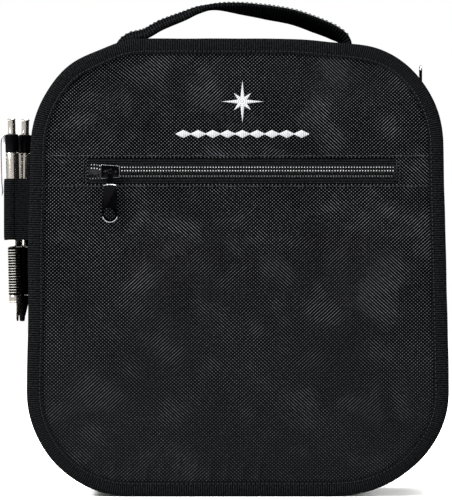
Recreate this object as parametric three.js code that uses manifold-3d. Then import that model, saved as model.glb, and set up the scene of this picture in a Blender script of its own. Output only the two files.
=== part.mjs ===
// A soft upright flight bag: a padded case that opens like a book along a zip round three sides,
// with a zipped front pocket, a webbing carry handle and two click pens in an elastic loop.
// Millimetres, +Z up. The front faces -Y and the origin is the middle of the flat underside.
import * as THREE from "three";
import { ParametricGeometry } from "three/addons/geometries/ParametricGeometry.js";
import { mergeVertices } from "three/addons/utils/BufferGeometryUtils.js";
import Module from "manifold-3d";

const wasm = await Module();
wasm.setup();

// ---- Driving dimensions ----
const HEIGHT = 298.4; // bound edge to bound edge, without the handle
const HALF_WIDTH_TOP = 134;
const HALF_WIDTH_BOTTOM = 137.5;
const TOP_RADIUS = 70;
const BOTTOM_RADIUS = 68;
const GAP = 0.3; // running gap between neighbouring pieces

const SEAM_INSET = 9; // the gusset is sewn this far inside the bound edge
const BINDING_WIDTH = 10;
const BINDING_INNER = 8.6; // the leg on the gusset side is shorter
const BINDING_WALL = 0.8;
const GUSSET_CLOTH = 1.2;
const BULGE_BOTTOM = 9; // how far the gusset swells outwards from its seam
const BULGE_SIDE = 7;
const BULGE_TOP = 1;

const FRONT_Y = -42.3; // outermost faces of the two bound edges
const BACK_Y = 40.1;
const ZIP_Y = -20; // centre of the main zip, and the plane in which the lid parts from the shell
const ZIP_END_X = 69.5; // the zip runs from here, under the bag, round the top to the same place

const TEETH_WIDTH = 2.5;
const TEETH_THICK = 2;
const TEETH_INSET = 9.2; // of the outer face of the main zip's teeth
const CHANNEL = 1.8; // free width between the two rows of teeth
const TAPE_WIDTH = 4.3;
const STOP_LENGTH = 3;
const TAPE_THICK = 0.8;

// Flat layers as [front face, back face, inset from the edge].
const FRONT_PANEL = [-41.2, -40, 1.3];
const POCKET_WALL = [-38.4, -37.8, 1.3];
const FRONT_FOAM = [-36.1, -33.1, 12];
const FRONT_LINING = [-32.7, -32.1, 12];
const BACK_LINING = [29.8, 30.4, 15];
const BACK_BOARD = [30.8, 32, 15];
const BACK_FOAM = [32.4, 35.8, 12];
const BACK_PANEL = [37.8, 39, 1.3];
const REAR_PADDING_Y = 24; // the gusset's foam and lining end here, short of the back

const POCKET_ZIP_Z = 211.5;
const POCKET_ZIP_Y = -40.6;
const WINDOW_TOP = 220.4; // the opening in the front panel that shows the pocket zip
const WINDOW_BOTTOM = 203.5;
const POCKET_LEFT = -97.4;
const POCKET_RIGHT = 102.2;
const POCKET_SLIDER_X = -83;

const MAIN_SLIDER_A_DEG = 31.2; // places of the two sliders on the top right corner
const MAIN_SLIDER_B_DEG = 44.4;
const PULL_A_RISE_DEG = 58.8; // turns the first pull from the zip's normal to straight up

const HANDLE_Y = 12;
const HANDLE_WIDTH = 25;
const HANDLE_THICK = 4.4; // the webbing is folded double
const HANDLE_AXIS_Z = 292.2;
const HANDLE_TAPER = 1.05; // half width per millimetre of rise at the folded ends
const PATCH_THICK = 1.6;
const PATCH_LENGTH = 22;

const PEN_RADIUS = 4.5;
const PEN_TIP_Z = 112.5;
const PEN_A = { name: "pen_a", x: -148.6, y: -2, tiltDeg: 1.25, clipTurnDeg: 0 };
const PEN_B = { name: "pen_b", x: -142.3, y: 7.6, tiltDeg: -0.9, clipTurnDeg: -60 };
const LOOP_BOTTOM = 167;
const LOOP_TOP = 208;
const LOOP_WALL = 1.2;

// ---- Materials ----
const material = (color, roughness, metalness = 0) =>
  new THREE.MeshStandardMaterial({ color, roughness, metalness });
const CANVAS = material(0x232425, 0.85);
const TAPE = material(0x1b1c1e, 0.8);
const LINING = material(0x2c2e31, 0.8);
const FOAM = material(0x4a4a4c, 0.95);
const BOARD = material(0x1a1a1a, 0.5);
const THREAD = material(0xe9e9ea, 0.7);
const NICKEL = material(0x4a4b4d, 0.3, 1);
const BLACK_NICKEL = material(0x2a2a2c, 0.3, 1);
const PLASTIC = material(0x141416, 0.45);
const STEEL = material(0xc4c6c8, 0.25, 1);

const group = new THREE.Group();

function add(name, geometry, finish, parent = group) {
  const mesh = new THREE.Mesh(geometry, finish);
  mesh.name = name;
  parent.add(mesh);
  return mesh;
}

// ---- Solids: joins and cuts ----
function solid(geometry) {
  const bare = geometry.clone();
  bare.deleteAttribute("normal");
  bare.deleteAttribute("uv");
  const merged = mergeVertices(bare, 1e-4);
  return new wasm.Manifold(
    new wasm.Mesh({
      numProp: 3,
      vertProperties: new Float32Array(merged.attributes.position.array),
      triVerts: new Uint32Array(merged.index.array),
    }),
  );
}

function geometryOf(manifold) {
  const mesh = manifold.getMesh();
  const geometry = new THREE.BufferGeometry();
  geometry.setAttribute("position", new THREE.BufferAttribute(mesh.vertProperties, 3));
  geometry.setIndex(new THREE.BufferAttribute(mesh.triVerts, 1));
  return geometry;
}

const join = (...parts) => geometryOf(parts.map(solid).reduce((a, b) => a.add(b)));
const cut = (a, b) => geometryOf(solid(a).subtract(solid(b)));
const common = (a, b) => geometryOf(solid(a).intersect(solid(b)));

// A box from its two corners.
function box(x0, x1, y0, y1, z0, z1) {
  const geometry = new THREE.BoxGeometry(x1 - x0, y1 - y0, z1 - z0);
  return geometry.translate((x0 + x1) / 2, (y0 + y1) / 2, (z0 + z1) / 2);
}

// ---- The outline: the tight hull of four corner circles ----
// Each station has a circle's centre and radius and the angle of the outward normal.
const ARC_STEPS = 7;
const SIDE_STEPS = 5;
const LEVEL_STEPS = 2;
const SIDE_TILT = (() => {
  const dx = HALF_WIDTH_TOP - TOP_RADIUS - (HALF_WIDTH_BOTTOM - BOTTOM_RADIUS);
  const dz = HEIGHT - TOP_RADIUS - BOTTOM_RADIUS;
  return Math.asin((BOTTOM_RADIUS - TOP_RADIUS) / Math.hypot(dx, dz)) - Math.atan2(dx, dz);
})();

const corner = (side, top) => ({
  x: side * (top ? HALF_WIDTH_TOP - TOP_RADIUS : HALF_WIDTH_BOTTOM - BOTTOM_RADIUS),
  z: top ? HEIGHT - TOP_RADIUS : BOTTOM_RADIUS,
  r: top ? TOP_RADIUS : BOTTOM_RADIUS,
});

function arcStations(circle, from, to) {
  return Array.from({ length: ARC_STEPS + 1 }, (_, i) => ({
    ...circle,
    a: from + ((to - from) * i) / ARC_STEPS,
  }));
}

// Stations strictly between two others that share a normal.
function straightStations(first, last, steps) {
  const mix = (a, b, t) => a + (b - a) * t;
  return Array.from({ length: steps - 1 }, (_, i) => {
    const t = (i + 1) / steps;
    return {
      x: mix(first.x, last.x, t),
      z: mix(first.z, last.z, t),
      r: mix(first.r, last.r, t),
      a: first.a,
    };
  });
}

const OUTLINE = (() => {
  const quarter = Math.PI / 2;
  const arcs = [
    arcStations(corner(1, false), -quarter, SIDE_TILT),
    arcStations(corner(1, true), SIDE_TILT, quarter),
    arcStations(corner(-1, true), quarter, 2 * quarter - SIDE_TILT),
    arcStations(corner(-1, false), 2 * quarter - SIDE_TILT, 3 * quarter),
  ];
  const steps = [SIDE_STEPS, LEVEL_STEPS, SIDE_STEPS, LEVEL_STEPS];
  return arcs.flatMap((arc, i) => [
    ...arc,
    ...straightStations(arc[ARC_STEPS], arcs[(i + 1) % arcs.length][0], steps[i]),
  ]);
})();

// The outline's point at a station, moved inwards by inset.
function outlinePoint(station, inset) {
  return [
    station.x + (station.r - inset) * Math.cos(station.a),
    station.z + (station.r - inset) * Math.sin(station.a),
  ];
}

// The gusset's swelling against height: flush underneath, full at the sides, nearly none at the top.
function bulgeAt(station) {
  const z = outlinePoint(station, 0)[1];
  const lower = THREE.MathUtils.smoothstep(z, 5, 60);
  const upper = THREE.MathUtils.smoothstep(z, 195, 226);
  return BULGE_BOTTOM + (BULGE_SIDE - BULGE_BOTTOM) * lower + (BULGE_TOP - BULGE_SIDE) * upper;
}

// A closed ring: a profile of [y, inset, share of the bulge] points carried round the outline.
function ring(profile) {
  const flat = profile.map(([y, inset]) => new THREE.Vector2(y, inset));
  const ordered = THREE.ShapeUtils.isClockWise(flat) ? profile : profile.toReversed();
  const place = (u, v, target) => {
    const station = OUTLINE[Math.round(u * OUTLINE.length) % OUTLINE.length];
    const [y, inset, share] = ordered[Math.round(v * ordered.length) % ordered.length];
    const [x, z] = outlinePoint(station, inset - share * bulgeAt(station));
    target.set(x, y, z);
  };
  return new ParametricGeometry(place, OUTLINE.length, profile.length);
}

// A rectangular ring between two y planes and two insets.
const band = (y0, y1, outer, inner, share = 1) =>
  ring([
    [y0, outer, share],
    [y0, inner, share],
    [y1, inner, share],
    [y1, outer, share],
  ]);

// A ring without its stretch under the bag, where the spine is.
const openAtSpine = (geometry) =>
  cut(geometry, box(-ZIP_END_X, ZIP_END_X, FRONT_Y, BACK_Y, -BULGE_BOTTOM, 3 * BULGE_BOTTOM));

// A flat layer with the bag's outline.
function sheet([y0, y1, inset]) {
  const shape = new THREE.Shape(OUTLINE.map((s) => new THREE.Vector2(...outlinePoint(s, inset))));
  const geometry = new THREE.ExtrudeGeometry(shape, { depth: y1 - y0, bevelEnabled: false });
  return geometry.rotateX(Math.PI / 2).translate(0, y1, 0);
}

// ---- Lid: front panel, pocket, foam and lining ----
const lid = new THREE.Group();
group.add(lid);
const [panelFront, , panelInset] = FRONT_PANEL;
const above = (z) => box(-2 * HALF_WIDTH_TOP, 2 * HALF_WIDTH_TOP, FRONT_Y, 0, z, HEIGHT);
const panel = () => sheet(FRONT_PANEL);

add("front_panel_upper", common(panel(), above(WINDOW_TOP)), CANVAS, lid);
add("pocket_face", cut(panel(), above(WINDOW_BOTTOM)), CANVAS, lid);

const windowStrip = common(panel(), box(
  -2 * HALF_WIDTH_TOP, 2 * HALF_WIDTH_TOP, FRONT_Y, 0, WINDOW_BOTTOM + GAP, WINDOW_TOP - GAP,
));
const aside = 2 * HALF_WIDTH_TOP;
add("pocket_zip_end_left", cut(windowStrip, box(POCKET_LEFT, aside, FRONT_Y, 0, 0, HEIGHT)), CANVAS, lid);
add("pocket_zip_end_right", cut(windowStrip, box(-aside, POCKET_RIGHT, FRONT_Y, 0, 0, HEIGHT)), CANVAS, lid);

for (const [name, side, edge] of [["upper", 1, WINDOW_TOP], ["lower", -1, WINDOW_BOTTOM]]) {
  const teethIn = POCKET_ZIP_Z + side * CHANNEL / 2;
  const teethOut = teethIn + side * TEETH_WIDTH;
  const x0 = POCKET_LEFT + GAP;
  const x1 = POCKET_RIGHT - GAP;
  const low = (a, b) => [Math.min(a, b), Math.max(a, b)];
  const halfTeeth = 0.8;
  add(`pocket_zip_teeth_${name}`,
    box(x0, x1, POCKET_ZIP_Y - halfTeeth, POCKET_ZIP_Y + halfTeeth, ...low(teethIn, teethOut)),
    NICKEL, lid);
  add(`pocket_zip_tape_${name}`,
    box(x0, x1, POCKET_ZIP_Y - TAPE_THICK / 2, POCKET_ZIP_Y + TAPE_THICK / 2,
      ...low(teethOut + side * GAP, edge - side * GAP)),
    TAPE, lid);
}

add("pocket_back_wall", sheet(POCKET_WALL), LINING, lid);
add("front_foam", sheet(FRONT_FOAM), FOAM, lid);
add("front_lining", sheet(FRONT_LINING), LINING, lid);

// A bound edge: the tape folded round the seam allowances, as a U with its mouth inwards.
function boundEdge(y0, y1, front, rear) {
  const wall = BINDING_WALL;
  return ring([
    [y0, front, 0],
    [y0, 0, 0],
    [y1, 0, 0],
    [y1, rear, 0],
    [y1 - wall, rear, 0],
    [y1 - wall, wall + 0.2, 0],
    [y0 + wall, wall + 0.2, 0],
    [y0 + wall, front, 0],
  ]);
}
add("front_binding", boundEdge(FRONT_Y, -35.6, BINDING_WIDTH, BINDING_INNER), TAPE, lid);

// Gusset cloth: a seam allowance that turns in at the seam and swells out to the zip.
function gussetCloth(seamY, turnY, bendY, fullY, edgeY, side) {
  const inner = SEAM_INSET + GUSSET_CLOTH;
  const cloth = 0.8;
  return ring([
    [seamY, panelInset, 0],
    [seamY, SEAM_INSET, 0],
    [turnY, SEAM_INSET, 0],
    [bendY, SEAM_INSET, 0.7],
    [fullY, SEAM_INSET, 1],
    [edgeY, SEAM_INSET, 1],
    [edgeY, inner, 1],
    [fullY, inner, 1],
    [bendY - side, inner, 0.7],
    [turnY - side, inner, 0],
    [seamY + side * cloth, inner, 0],
    [seamY + side * cloth, panelInset, 0],
  ]);
}
const STRIP_EDGE = CHANNEL / 2 + TEETH_WIDTH + GAP + TAPE_WIDTH + GAP; // zip centre to gusset cloth
add("lid_gusset", gussetCloth(-36.7, -35.2, -33.2, -30.5, ZIP_Y - STRIP_EDGE, -1), CANVAS, lid);
add("lid_gusset_lining", ring([
  [-31.6, 11, 0.8],
  [-30.5, 11, 1],
  [ZIP_Y - STRIP_EDGE, 11, 1],
  [ZIP_Y - STRIP_EDGE, 11.6, 1],
  [-30.5, 11.6, 1],
  [-31.6, 11.6, 0.8],
]), LINING, lid);

// ---- Shell: back panel, gusset, padding and lining ----
const shell = new THREE.Group();
group.add(shell);
add("back_panel", sheet(BACK_PANEL), CANVAS, shell);
add("back_binding", boundEdge(35.6, BACK_Y, BINDING_INNER, BINDING_WIDTH), TAPE, shell);
add("rear_gusset", gussetCloth(36.7, 35.2, 31.5, 26, ZIP_Y + STRIP_EDGE, 1), CANVAS, shell);
add("rear_gusset_foam", band(ZIP_Y + STRIP_EDGE, REAR_PADDING_Y, 10.6, 13), FOAM, shell);
add("rear_gusset_lining", band(ZIP_Y + STRIP_EDGE, REAR_PADDING_Y, 13.4, 14), LINING, shell);
add("back_foam", sheet(BACK_FOAM), FOAM, shell);
add("back_stiffener", sheet(BACK_BOARD), BOARD, shell);
add("back_lining", sheet(BACK_LINING), LINING, shell);

// ---- Main zip and the spine that takes its place underneath ----
for (const [owner, parent, side] of [["lid", lid, -1], ["shell", shell, 1]]) {
  const at = (d) => ZIP_Y + side * d;
  const strip = (from, to, outer, inner) => openAtSpine(
    band(Math.min(at(from), at(to)), Math.max(at(from), at(to)), outer, inner));
  const teethEnd = CHANNEL / 2 + TEETH_WIDTH;
  add(`main_zip_teeth_${owner}`,
    strip(CHANNEL / 2, teethEnd, TEETH_INSET, TEETH_INSET + TEETH_THICK), NICKEL, parent);
  add(`main_zip_tape_${owner}`,
    strip(teethEnd + GAP, teethEnd + GAP + TAPE_WIDTH, 9.8, 9.8 + TAPE_THICK), TAPE, parent);
  const y0 = Math.min(at(GAP), at(STRIP_EDGE - GAP));
  const y1 = Math.max(at(GAP), at(STRIP_EDGE - GAP));
  const reach = ZIP_END_X - STOP_LENGTH - 2 * GAP;
  add(`spine_${owner}_half`, box(-reach, reach, y0, y1, 0, GUSSET_CLOTH), CANVAS, parent);
}

// ---- Zip sliders and pulls. Local x runs along the zip, y across it and z outwards ----
const SLIDER_LENGTH = 12.5;
const SLIDER_WIDTH = 9;
const PLATE = 1.2;
const OUTER_PLATE = 1.45; // from the middle of the zip to the near face of each plate
const POCKET_INNER_PLATE = 1.1;
const MAIN_INNER_PLATE = 1.85;
const BAR_HEIGHT = 4.9; // centre of the crown's bar above the middle of the zip
const BAR_RADIUS = 0.7;
const CROWN_SPAN = 6;
const KNUCKLE_RADIUS = 1.9;
const KNUCKLE_LENGTH = 3.4;
const PULL_THICK = 1.6;
const PULL_RIM = 1.4;

// A rounded bar of given radius along x.
function barX(radius, length) {
  return new THREE.CylinderGeometry(radius, radius, length, 12).rotateZ(Math.PI / 2);
}

// The crown's bar lies along x, or across the zip when crosswise is true.
function sliderGeometry(outerStart, innerStart, crosswise) {
  const halfL = SLIDER_LENGTH / 2;
  const halfW = SLIDER_WIDTH / 2;
  const outerPlate = box(-halfL, halfL, -halfW, halfW, outerStart, outerStart + PLATE);
  const innerPlate = box(-halfL, halfL, -halfW, halfW, -innerStart - PLATE * 0.7, -innerStart);
  const post = box(-2, 2, -CHANNEL / 2 + GAP, CHANNEL / 2 - GAP, -innerStart - 0.2, outerStart + 0.2);
  const leg = (side) => box(
    side * CROWN_SPAN / 2 - 0.7, side * CROWN_SPAN / 2 + 0.7, -1.1, 1.1,
    outerStart + 0.3, BAR_HEIGHT + BAR_RADIUS,
  );
  const crown = [leg(-1), leg(1), barX(BAR_RADIUS, CROWN_SPAN).translate(0, 0, BAR_HEIGHT)];
  if (crosswise) crown.forEach((piece) => piece.rotateZ(Math.PI / 2));
  return join(outerPlate, innerPlate, post, ...crown);
}

// A pull hanging from its knuckle along -y, with the knuckle's axis along x through the origin.
// A neck leads down to the blade, which has a D slot inside its rounded end.
function pullGeometry({ length, neck, topWidth, endWidth }) {
  const endY = -length + endWidth / 2;
  const shape = new THREE.Shape();
  shape.moveTo(-topWidth / 2, -neck);
  shape.lineTo(-endWidth / 2, endY);
  shape.absarc(0, endY, endWidth / 2, Math.PI, 2 * Math.PI, false);
  shape.lineTo(topWidth / 2, -neck);
  const slot = new THREE.Path();
  const slotHalf = endWidth / 2 - PULL_RIM;
  slot.absarc(0, endY, slotHalf, Math.PI, 2 * Math.PI, false);
  slot.lineTo(slotHalf, endY + slotHalf);
  slot.lineTo(-slotHalf, endY + slotHalf);
  shape.holes.push(slot);
  const blade = new THREE.ExtrudeGeometry(shape, {
    depth: PULL_THICK, bevelEnabled: false, curveSegments: 8,
  });
  blade.translate(0, 0, -PULL_THICK / 2);
  const boss = barX(KNUCKLE_RADIUS, KNUCKLE_LENGTH);
  const eye = barX(BAR_RADIUS + GAP, 2 * CROWN_SPAN);
  const overlap = 0.6;
  const stem = box(
    -KNUCKLE_LENGTH / 2, KNUCKLE_LENGTH / 2, -neck - overlap, 0, -PULL_THICK / 2, PULL_THICK / 2,
  );
  return cut(join(blade, stem, boss), eye);
}

// Adds a slider and its pull to a holder, and returns the pull.
function addSlider(holder, sliderName, pullName, crosswise, innerStart, pullSize) {
  add(sliderName, sliderGeometry(OUTER_PLATE, innerStart, crosswise), BLACK_NICKEL, holder);
  const pull = add(pullName, pullGeometry(pullSize), BLACK_NICKEL, holder);
  pull.position.z = BAR_HEIGHT;
  return pull;
}

const pocketHolder = new THREE.Group();
pocketHolder.position.set(POCKET_SLIDER_X, POCKET_ZIP_Y, POCKET_ZIP_Z);
pocketHolder.rotation.x = Math.PI / 2;
lid.add(pocketHolder);
addSlider(pocketHolder, "pocket_slider", "pocket_pull", false, POCKET_INNER_PLATE,
  { length: 33.2, neck: 8.6, topWidth: 8.4, endWidth: 10.4 });

const ZIP_RADIUS = TOP_RADIUS - TEETH_INSET - TEETH_THICK / 2 + BULGE_TOP;
const zipCorner = corner(1, true);
for (const [letter, degrees, riseDeg] of [
  ["a", MAIN_SLIDER_A_DEG, PULL_A_RISE_DEG],
  ["b", MAIN_SLIDER_B_DEG, 90],
]) {
  const angle = THREE.MathUtils.degToRad(degrees);
  const holder = new THREE.Group();
  holder.position.set(
    zipCorner.x + ZIP_RADIUS * Math.cos(angle), ZIP_Y, zipCorner.z + ZIP_RADIUS * Math.sin(angle),
  );
  // Columns: along the zip towards the top, across it towards the front, outwards.
  const along = new THREE.Vector3(-Math.sin(angle), 0, Math.cos(angle));
  const across = new THREE.Vector3(0, -1, 0);
  const outwards = new THREE.Vector3(Math.cos(angle), 0, Math.sin(angle));
  holder.quaternion.setFromRotationMatrix(new THREE.Matrix4().makeBasis(along, across, outwards));
  shell.add(holder);
  const pull = addSlider(holder, `main_slider_${letter}`, `main_pull_${letter}`, true,
    MAIN_INNER_PLATE, { length: 19.5, neck: 2.5, topWidth: 6.4, endWidth: 8 });
  // The blade turns to the zip's direction, and then up from it by 90 degrees less the rise.
  pull.rotation.order = "YXZ";
  pull.rotation.set(0, -THREE.MathUtils.degToRad(90 - riseDeg), Math.PI / 2);
}

// ---- Zip stops at the two ends of the main zip ----
for (const [name, side] of [["right", 1], ["left", -1]]) {
  const middle = side * (ZIP_END_X - GAP - STOP_LENGTH / 2);
  const stop = box(-STOP_LENGTH / 2, STOP_LENGTH / 2, ZIP_Y + GAP, ZIP_Y + 3.4, 0.2, 2.4);
  add(`main_zip_stop_${name}`, stop.translate(middle, 0, 0), NICKEL, shell);
}

// ---- Carry handle: a webbing strap that arches between two sewn patches ----
const handlePath = new THREE.CatmullRomCurve3([
  [-80, 292.9], [-78.5, 299.5], [-71, 303], [-61.4, 305], [-51, 310.7], [-36.4, 316.5],
  [-25.5, 321], [-14, 323], [2.3, 321.7], [20.7, 319], [37.2, 315.9], [51.6, 310.9],
  [63.9, 305.8], [72.5, 300.5], [74.5, 292.9],
].map(([x, z]) => new THREE.Vector3(x, HANDLE_Y, z)));

// A strap along the path; its width narrows to the folded ends so that it can swing between them.
function strapGeometry(path, steps) {
  const section = [[1, 1], [1, -1], [-1, -1], [-1, 1]];
  const place = (u, v, target) => {
    const step = Math.round(u * (steps + 2)) - 1;
    const t = THREE.MathUtils.clamp(step / steps, 0, 1);
    const point = path.getPointAt(t);
    const tangent = path.getTangentAt(t);
    const normal = new THREE.Vector3(-tangent.z, 0, tangent.x);
    const closed = step < 0 || step > steps;
    const [across, through] = section[Math.round(v * 4) % 4];
    const underside = point.z - (Math.abs(normal.z) * HANDLE_THICK) / 2 - HANDLE_AXIS_Z;
    const half = Math.min(HANDLE_WIDTH / 2, HANDLE_TAPER * underside);
    target.copy(point);
    if (closed) return;
    target.addScaledVector(normal, (through * HANDLE_THICK) / 2);
    target.y += across * half;
  };
  return new ParametricGeometry(place, steps + 2, 4);
}
add("handle_strap", strapGeometry(handlePath, 36), TAPE);

// Each patch is a length of the same webbing that follows the curve of the gusset.
const patchBand = () =>
  band(HANDLE_Y - HANDLE_WIDTH / 2, HANDLE_Y + HANDLE_WIDTH / 2,
    SEAM_INSET - GAP - PATCH_THICK, SEAM_INSET - GAP);
for (const [name, x] of [["left", -88], ["right", 83]]) {
  add(`handle_patch_${name}`,
    common(patchBand(), box(x - PATCH_LENGTH / 2, x + PATCH_LENGTH / 2, FRONT_Y, BACK_Y,
      HEIGHT / 2, 2 * HEIGHT)),
    TAPE);
}

// ---- Elastic pen loop: one strip sewn down by a foot at each end and led round both pens ----
function loopOutline(radius) {
  // The side of the strip that is away from the gusset: round the outer pen, then the inner one.
  const foot = { x: -134, front: -10.6, back: 19 };
  const points = [new THREE.Vector2(foot.x, foot.front)];
  const arc = (pen, from, to) => {
    const steps = 6;
    for (let i = 0; i <= steps; i += 1) {
      const a = THREE.MathUtils.degToRad(from + ((to - from) * i) / steps);
      points.push(new THREE.Vector2(pen.x + radius * Math.cos(a), pen.y + radius * Math.sin(a)));
    }
  };
  arc(PEN_A, 290, 146);
  arc(PEN_B, 146, 65);
  points.push(new THREE.Vector2(foot.x, foot.back));
  return points;
}

function loopGeometry() {
  const clear = PEN_RADIUS + 0.75;
  const outer = loopOutline(clear + LOOP_WALL);
  const inner = loopOutline(clear);
  const feetX = outer[0].x - LOOP_WALL;
  const footReach = 5;
  const first = inner[0].y;
  const last = inner[inner.length - 1].y;
  const shape = new THREE.Shape([
    new THREE.Vector2(outer[0].x, first - footReach),
    new THREE.Vector2(feetX, first - footReach),
    new THREE.Vector2(feetX, first - LOOP_WALL),
    ...outer.slice(1, -1),
    new THREE.Vector2(feetX, last + LOOP_WALL),
    new THREE.Vector2(feetX, last + footReach),
    new THREE.Vector2(outer[0].x, last + footReach),
    new THREE.Vector2(outer[0].x, last),
    ...inner.slice(1, -1).reverse(),
    new THREE.Vector2(outer[0].x, first),
  ]);
  const geometry = new THREE.ExtrudeGeometry(shape, { depth: LOOP_TOP - LOOP_BOTTOM, bevelEnabled: false });
  return geometry.translate(0, 0, LOOP_BOTTOM);
}
add("pen_loop", loopGeometry(), TAPE);

// ---- Click pens. Heights are above the tip; every round piece is turned about the pen's axis ----
const PEN_SIDES = 16;
const lathe = (profile) =>
  new THREE.LatheGeometry(profile.map(([r, z]) => new THREE.Vector2(r, z)), PEN_SIDES)
    .rotateX(Math.PI / 2);

// A wire of five sides wound about the z axis.
function helix(radius, wire, from, to, turns) {
  const perTurn = 8;
  const steps = turns * perTurn;
  const points = Array.from({ length: steps + 1 }, (_, i) => {
    const a = (i / perTurn) * 2 * Math.PI;
    const z = from + ((to - from) * i) / steps;
    return new THREE.Vector3(radius * Math.cos(a), radius * Math.sin(a), z);
  });
  const sides = 5;
  const section = new THREE.Shape(Array.from({ length: sides }, (_, i) => {
    const a = (i / sides) * 2 * Math.PI;
    return new THREE.Vector2(wire * Math.cos(a), wire * Math.sin(a));
  }));
  return new THREE.ExtrudeGeometry(section, {
    steps,
    extrudePath: new THREE.CatmullRomCurve3(points),
    bevelEnabled: false,
  });
}

function buildPen({ name, x, y, tiltDeg, clipTurnDeg }) {
  const pen = new THREE.Group();
  const loopMiddle = (LOOP_TOP + LOOP_BOTTOM) / 2 - PEN_TIP_Z;
  // The pen leans about the middle of the loop.
  const lean = THREE.MathUtils.degToRad(tiltDeg);
  pen.rotation.set(0, -lean, THREE.MathUtils.degToRad(clipTurnDeg), "YXZ");
  pen.position.set(x + loopMiddle * Math.sin(lean), y, PEN_TIP_Z + loopMiddle * (1 - Math.cos(lean)));
  group.add(pen);
  const bore = 1.5;
  const place = (part, geometry, finish) => add(`${name}_${part}`, geometry, finish, pen);

  place("nose_cone", lathe([
    [bore, 1], [1.7, 1], [2.1, 4.5], [4.1, 13], [4.1, 18], [bore, 18], [bore, 1],
  ]), STEEL);
  place("grip", lathe([
    [3.1, 18.3], [4.4, 18.3], [4.4, 50], [3.1, 50], [3.1, 18.3],
  ]), PLASTIC);
  place("barrel", lathe([
    [bore, 18.3], [2.8, 18.3], [2.8, 50.3], [4.4, 50.3], [4.4, 112.4], [3.1, 112.4],
    [3.1, 56], [bore, 56], [bore, 18.3],
  ]), STEEL);
  place("collar", lathe([
    [3.1, 112.7], [4.5, 112.7], [4.5, 124.8], [3.1, 124.8], [3.1, 112.7],
  ]), PLASTIC);
  place("push_button", lathe([
    [0, 110.4], [2.7, 110.4], [2.7, 134.5], [2.2, 135.2], [0, 135.2],
  ]), PLASTIC);
  place("refill", lathe([
    [0, 2], [0.6, 2], [1.1, 6], [1.1, 110], [0, 110],
  ]), STEEL);
  place("spring", helix(2.2, 0.35, 57, 109.5, 8), STEEL);
  // The clip stands off the collar and runs down outside the loop to a bent-in end.
  const clipX = PEN_RADIUS + 0.3;
  const clip = new THREE.Shape([
    [clipX, 124.5], [clipX, 117.5], [clipX + 2, 115], [clipX + 2.2, 92.5], [clipX + 2.2, 84],
    [clipX + 3, 84], [clipX + 3, 122], [clipX + 1.4, 124.5],
  ].map(([cx, cz]) => new THREE.Vector2(-cx, cz)));
  const clipWidth = 3.2;
  place("clip", new THREE.ExtrudeGeometry(clip, { depth: clipWidth, bevelEnabled: false })
    .rotateX(Math.PI / 2).translate(0, clipWidth / 2, 0), STEEL);
}
[PEN_A, PEN_B].forEach(buildPen);

// ---- Embroidery on the front panel: a compass rose over a row of diamonds ----
const EMBROIDERY_X = 3;
function embroider(name, shape) {
  const geometry = new THREE.ExtrudeGeometry(shape, { depth: 0.5, bevelEnabled: false });
  add(name, geometry.rotateX(Math.PI / 2).translate(EMBROIDERY_X, panelFront - GAP, 0), THREAD, lid);
}
const ROSE_Z = 257;
const roseRadii = [14, 3.2, 8, 3.2];
const rosePoints = Array.from({ length: 16 }, (_, i) => {
  const a = Math.PI / 2 + (i * Math.PI) / 8;
  const r = roseRadii[i % roseRadii.length];
  return new THREE.Vector2(r * Math.cos(a), ROSE_Z + r * Math.sin(a));
});
embroider("embroidered_rose", new THREE.Shape(rosePoints));

const ROW_Z = 236;
const DIAMONDS = 9;
const DIAMOND_PITCH = 9.6;
const diamondHeights = Array.from({ length: 2 * DIAMONDS + 1 }, (_, i) => (i % 2 ? 2.6 : 0.4));
const rowEdge = (sign) => diamondHeights.map((h, i) =>
  new THREE.Vector2((i - DIAMONDS) * (DIAMOND_PITCH / 2), ROW_Z + sign * h));
embroider("embroidered_row", new THREE.Shape([...rowEdge(-1), ...rowEdge(1).reverse()]));

export default group;
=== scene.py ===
"""A soft upright flight bag, laid out as a Blender add-on and run as a script.

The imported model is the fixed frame: every piece takes its place from it and rides on one of its bodies.
Shapes are worked out in millimetres with numpy and turned to metres when a mesh is made.
The front of the bag faces -Y, +Z is up, and the bag stands on z = 0.
"""

import math

import bmesh
import bpy
import numpy as np
from mathutils import Matrix, Vector


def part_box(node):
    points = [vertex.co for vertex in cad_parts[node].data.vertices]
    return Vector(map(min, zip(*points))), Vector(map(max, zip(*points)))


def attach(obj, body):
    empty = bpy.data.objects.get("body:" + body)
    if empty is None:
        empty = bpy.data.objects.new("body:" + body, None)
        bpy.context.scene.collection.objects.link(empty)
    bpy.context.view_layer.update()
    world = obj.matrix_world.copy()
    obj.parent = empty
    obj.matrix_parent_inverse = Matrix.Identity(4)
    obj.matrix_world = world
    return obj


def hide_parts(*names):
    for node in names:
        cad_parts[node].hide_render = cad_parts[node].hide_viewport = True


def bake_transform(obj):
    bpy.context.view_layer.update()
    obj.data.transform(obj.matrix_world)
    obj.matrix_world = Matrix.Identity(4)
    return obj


bl_info = {
    "name": "Flight Bag",
    "version": (1, 0, 0),
    "blender": (4, 5, 0),
    "location": "View3D > Sidebar > Flight Bag",
    "description": "Builds a soft upright flight bag with a zipped pocket, a carry handle and two pens",
    "category": "Add Mesh",
}

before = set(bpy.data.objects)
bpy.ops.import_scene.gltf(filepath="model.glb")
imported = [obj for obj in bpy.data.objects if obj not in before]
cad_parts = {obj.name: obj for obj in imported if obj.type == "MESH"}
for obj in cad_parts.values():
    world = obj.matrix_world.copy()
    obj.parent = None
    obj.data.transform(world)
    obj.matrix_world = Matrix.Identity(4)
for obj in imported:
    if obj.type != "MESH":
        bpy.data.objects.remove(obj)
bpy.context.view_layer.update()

MM = 0.001


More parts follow.
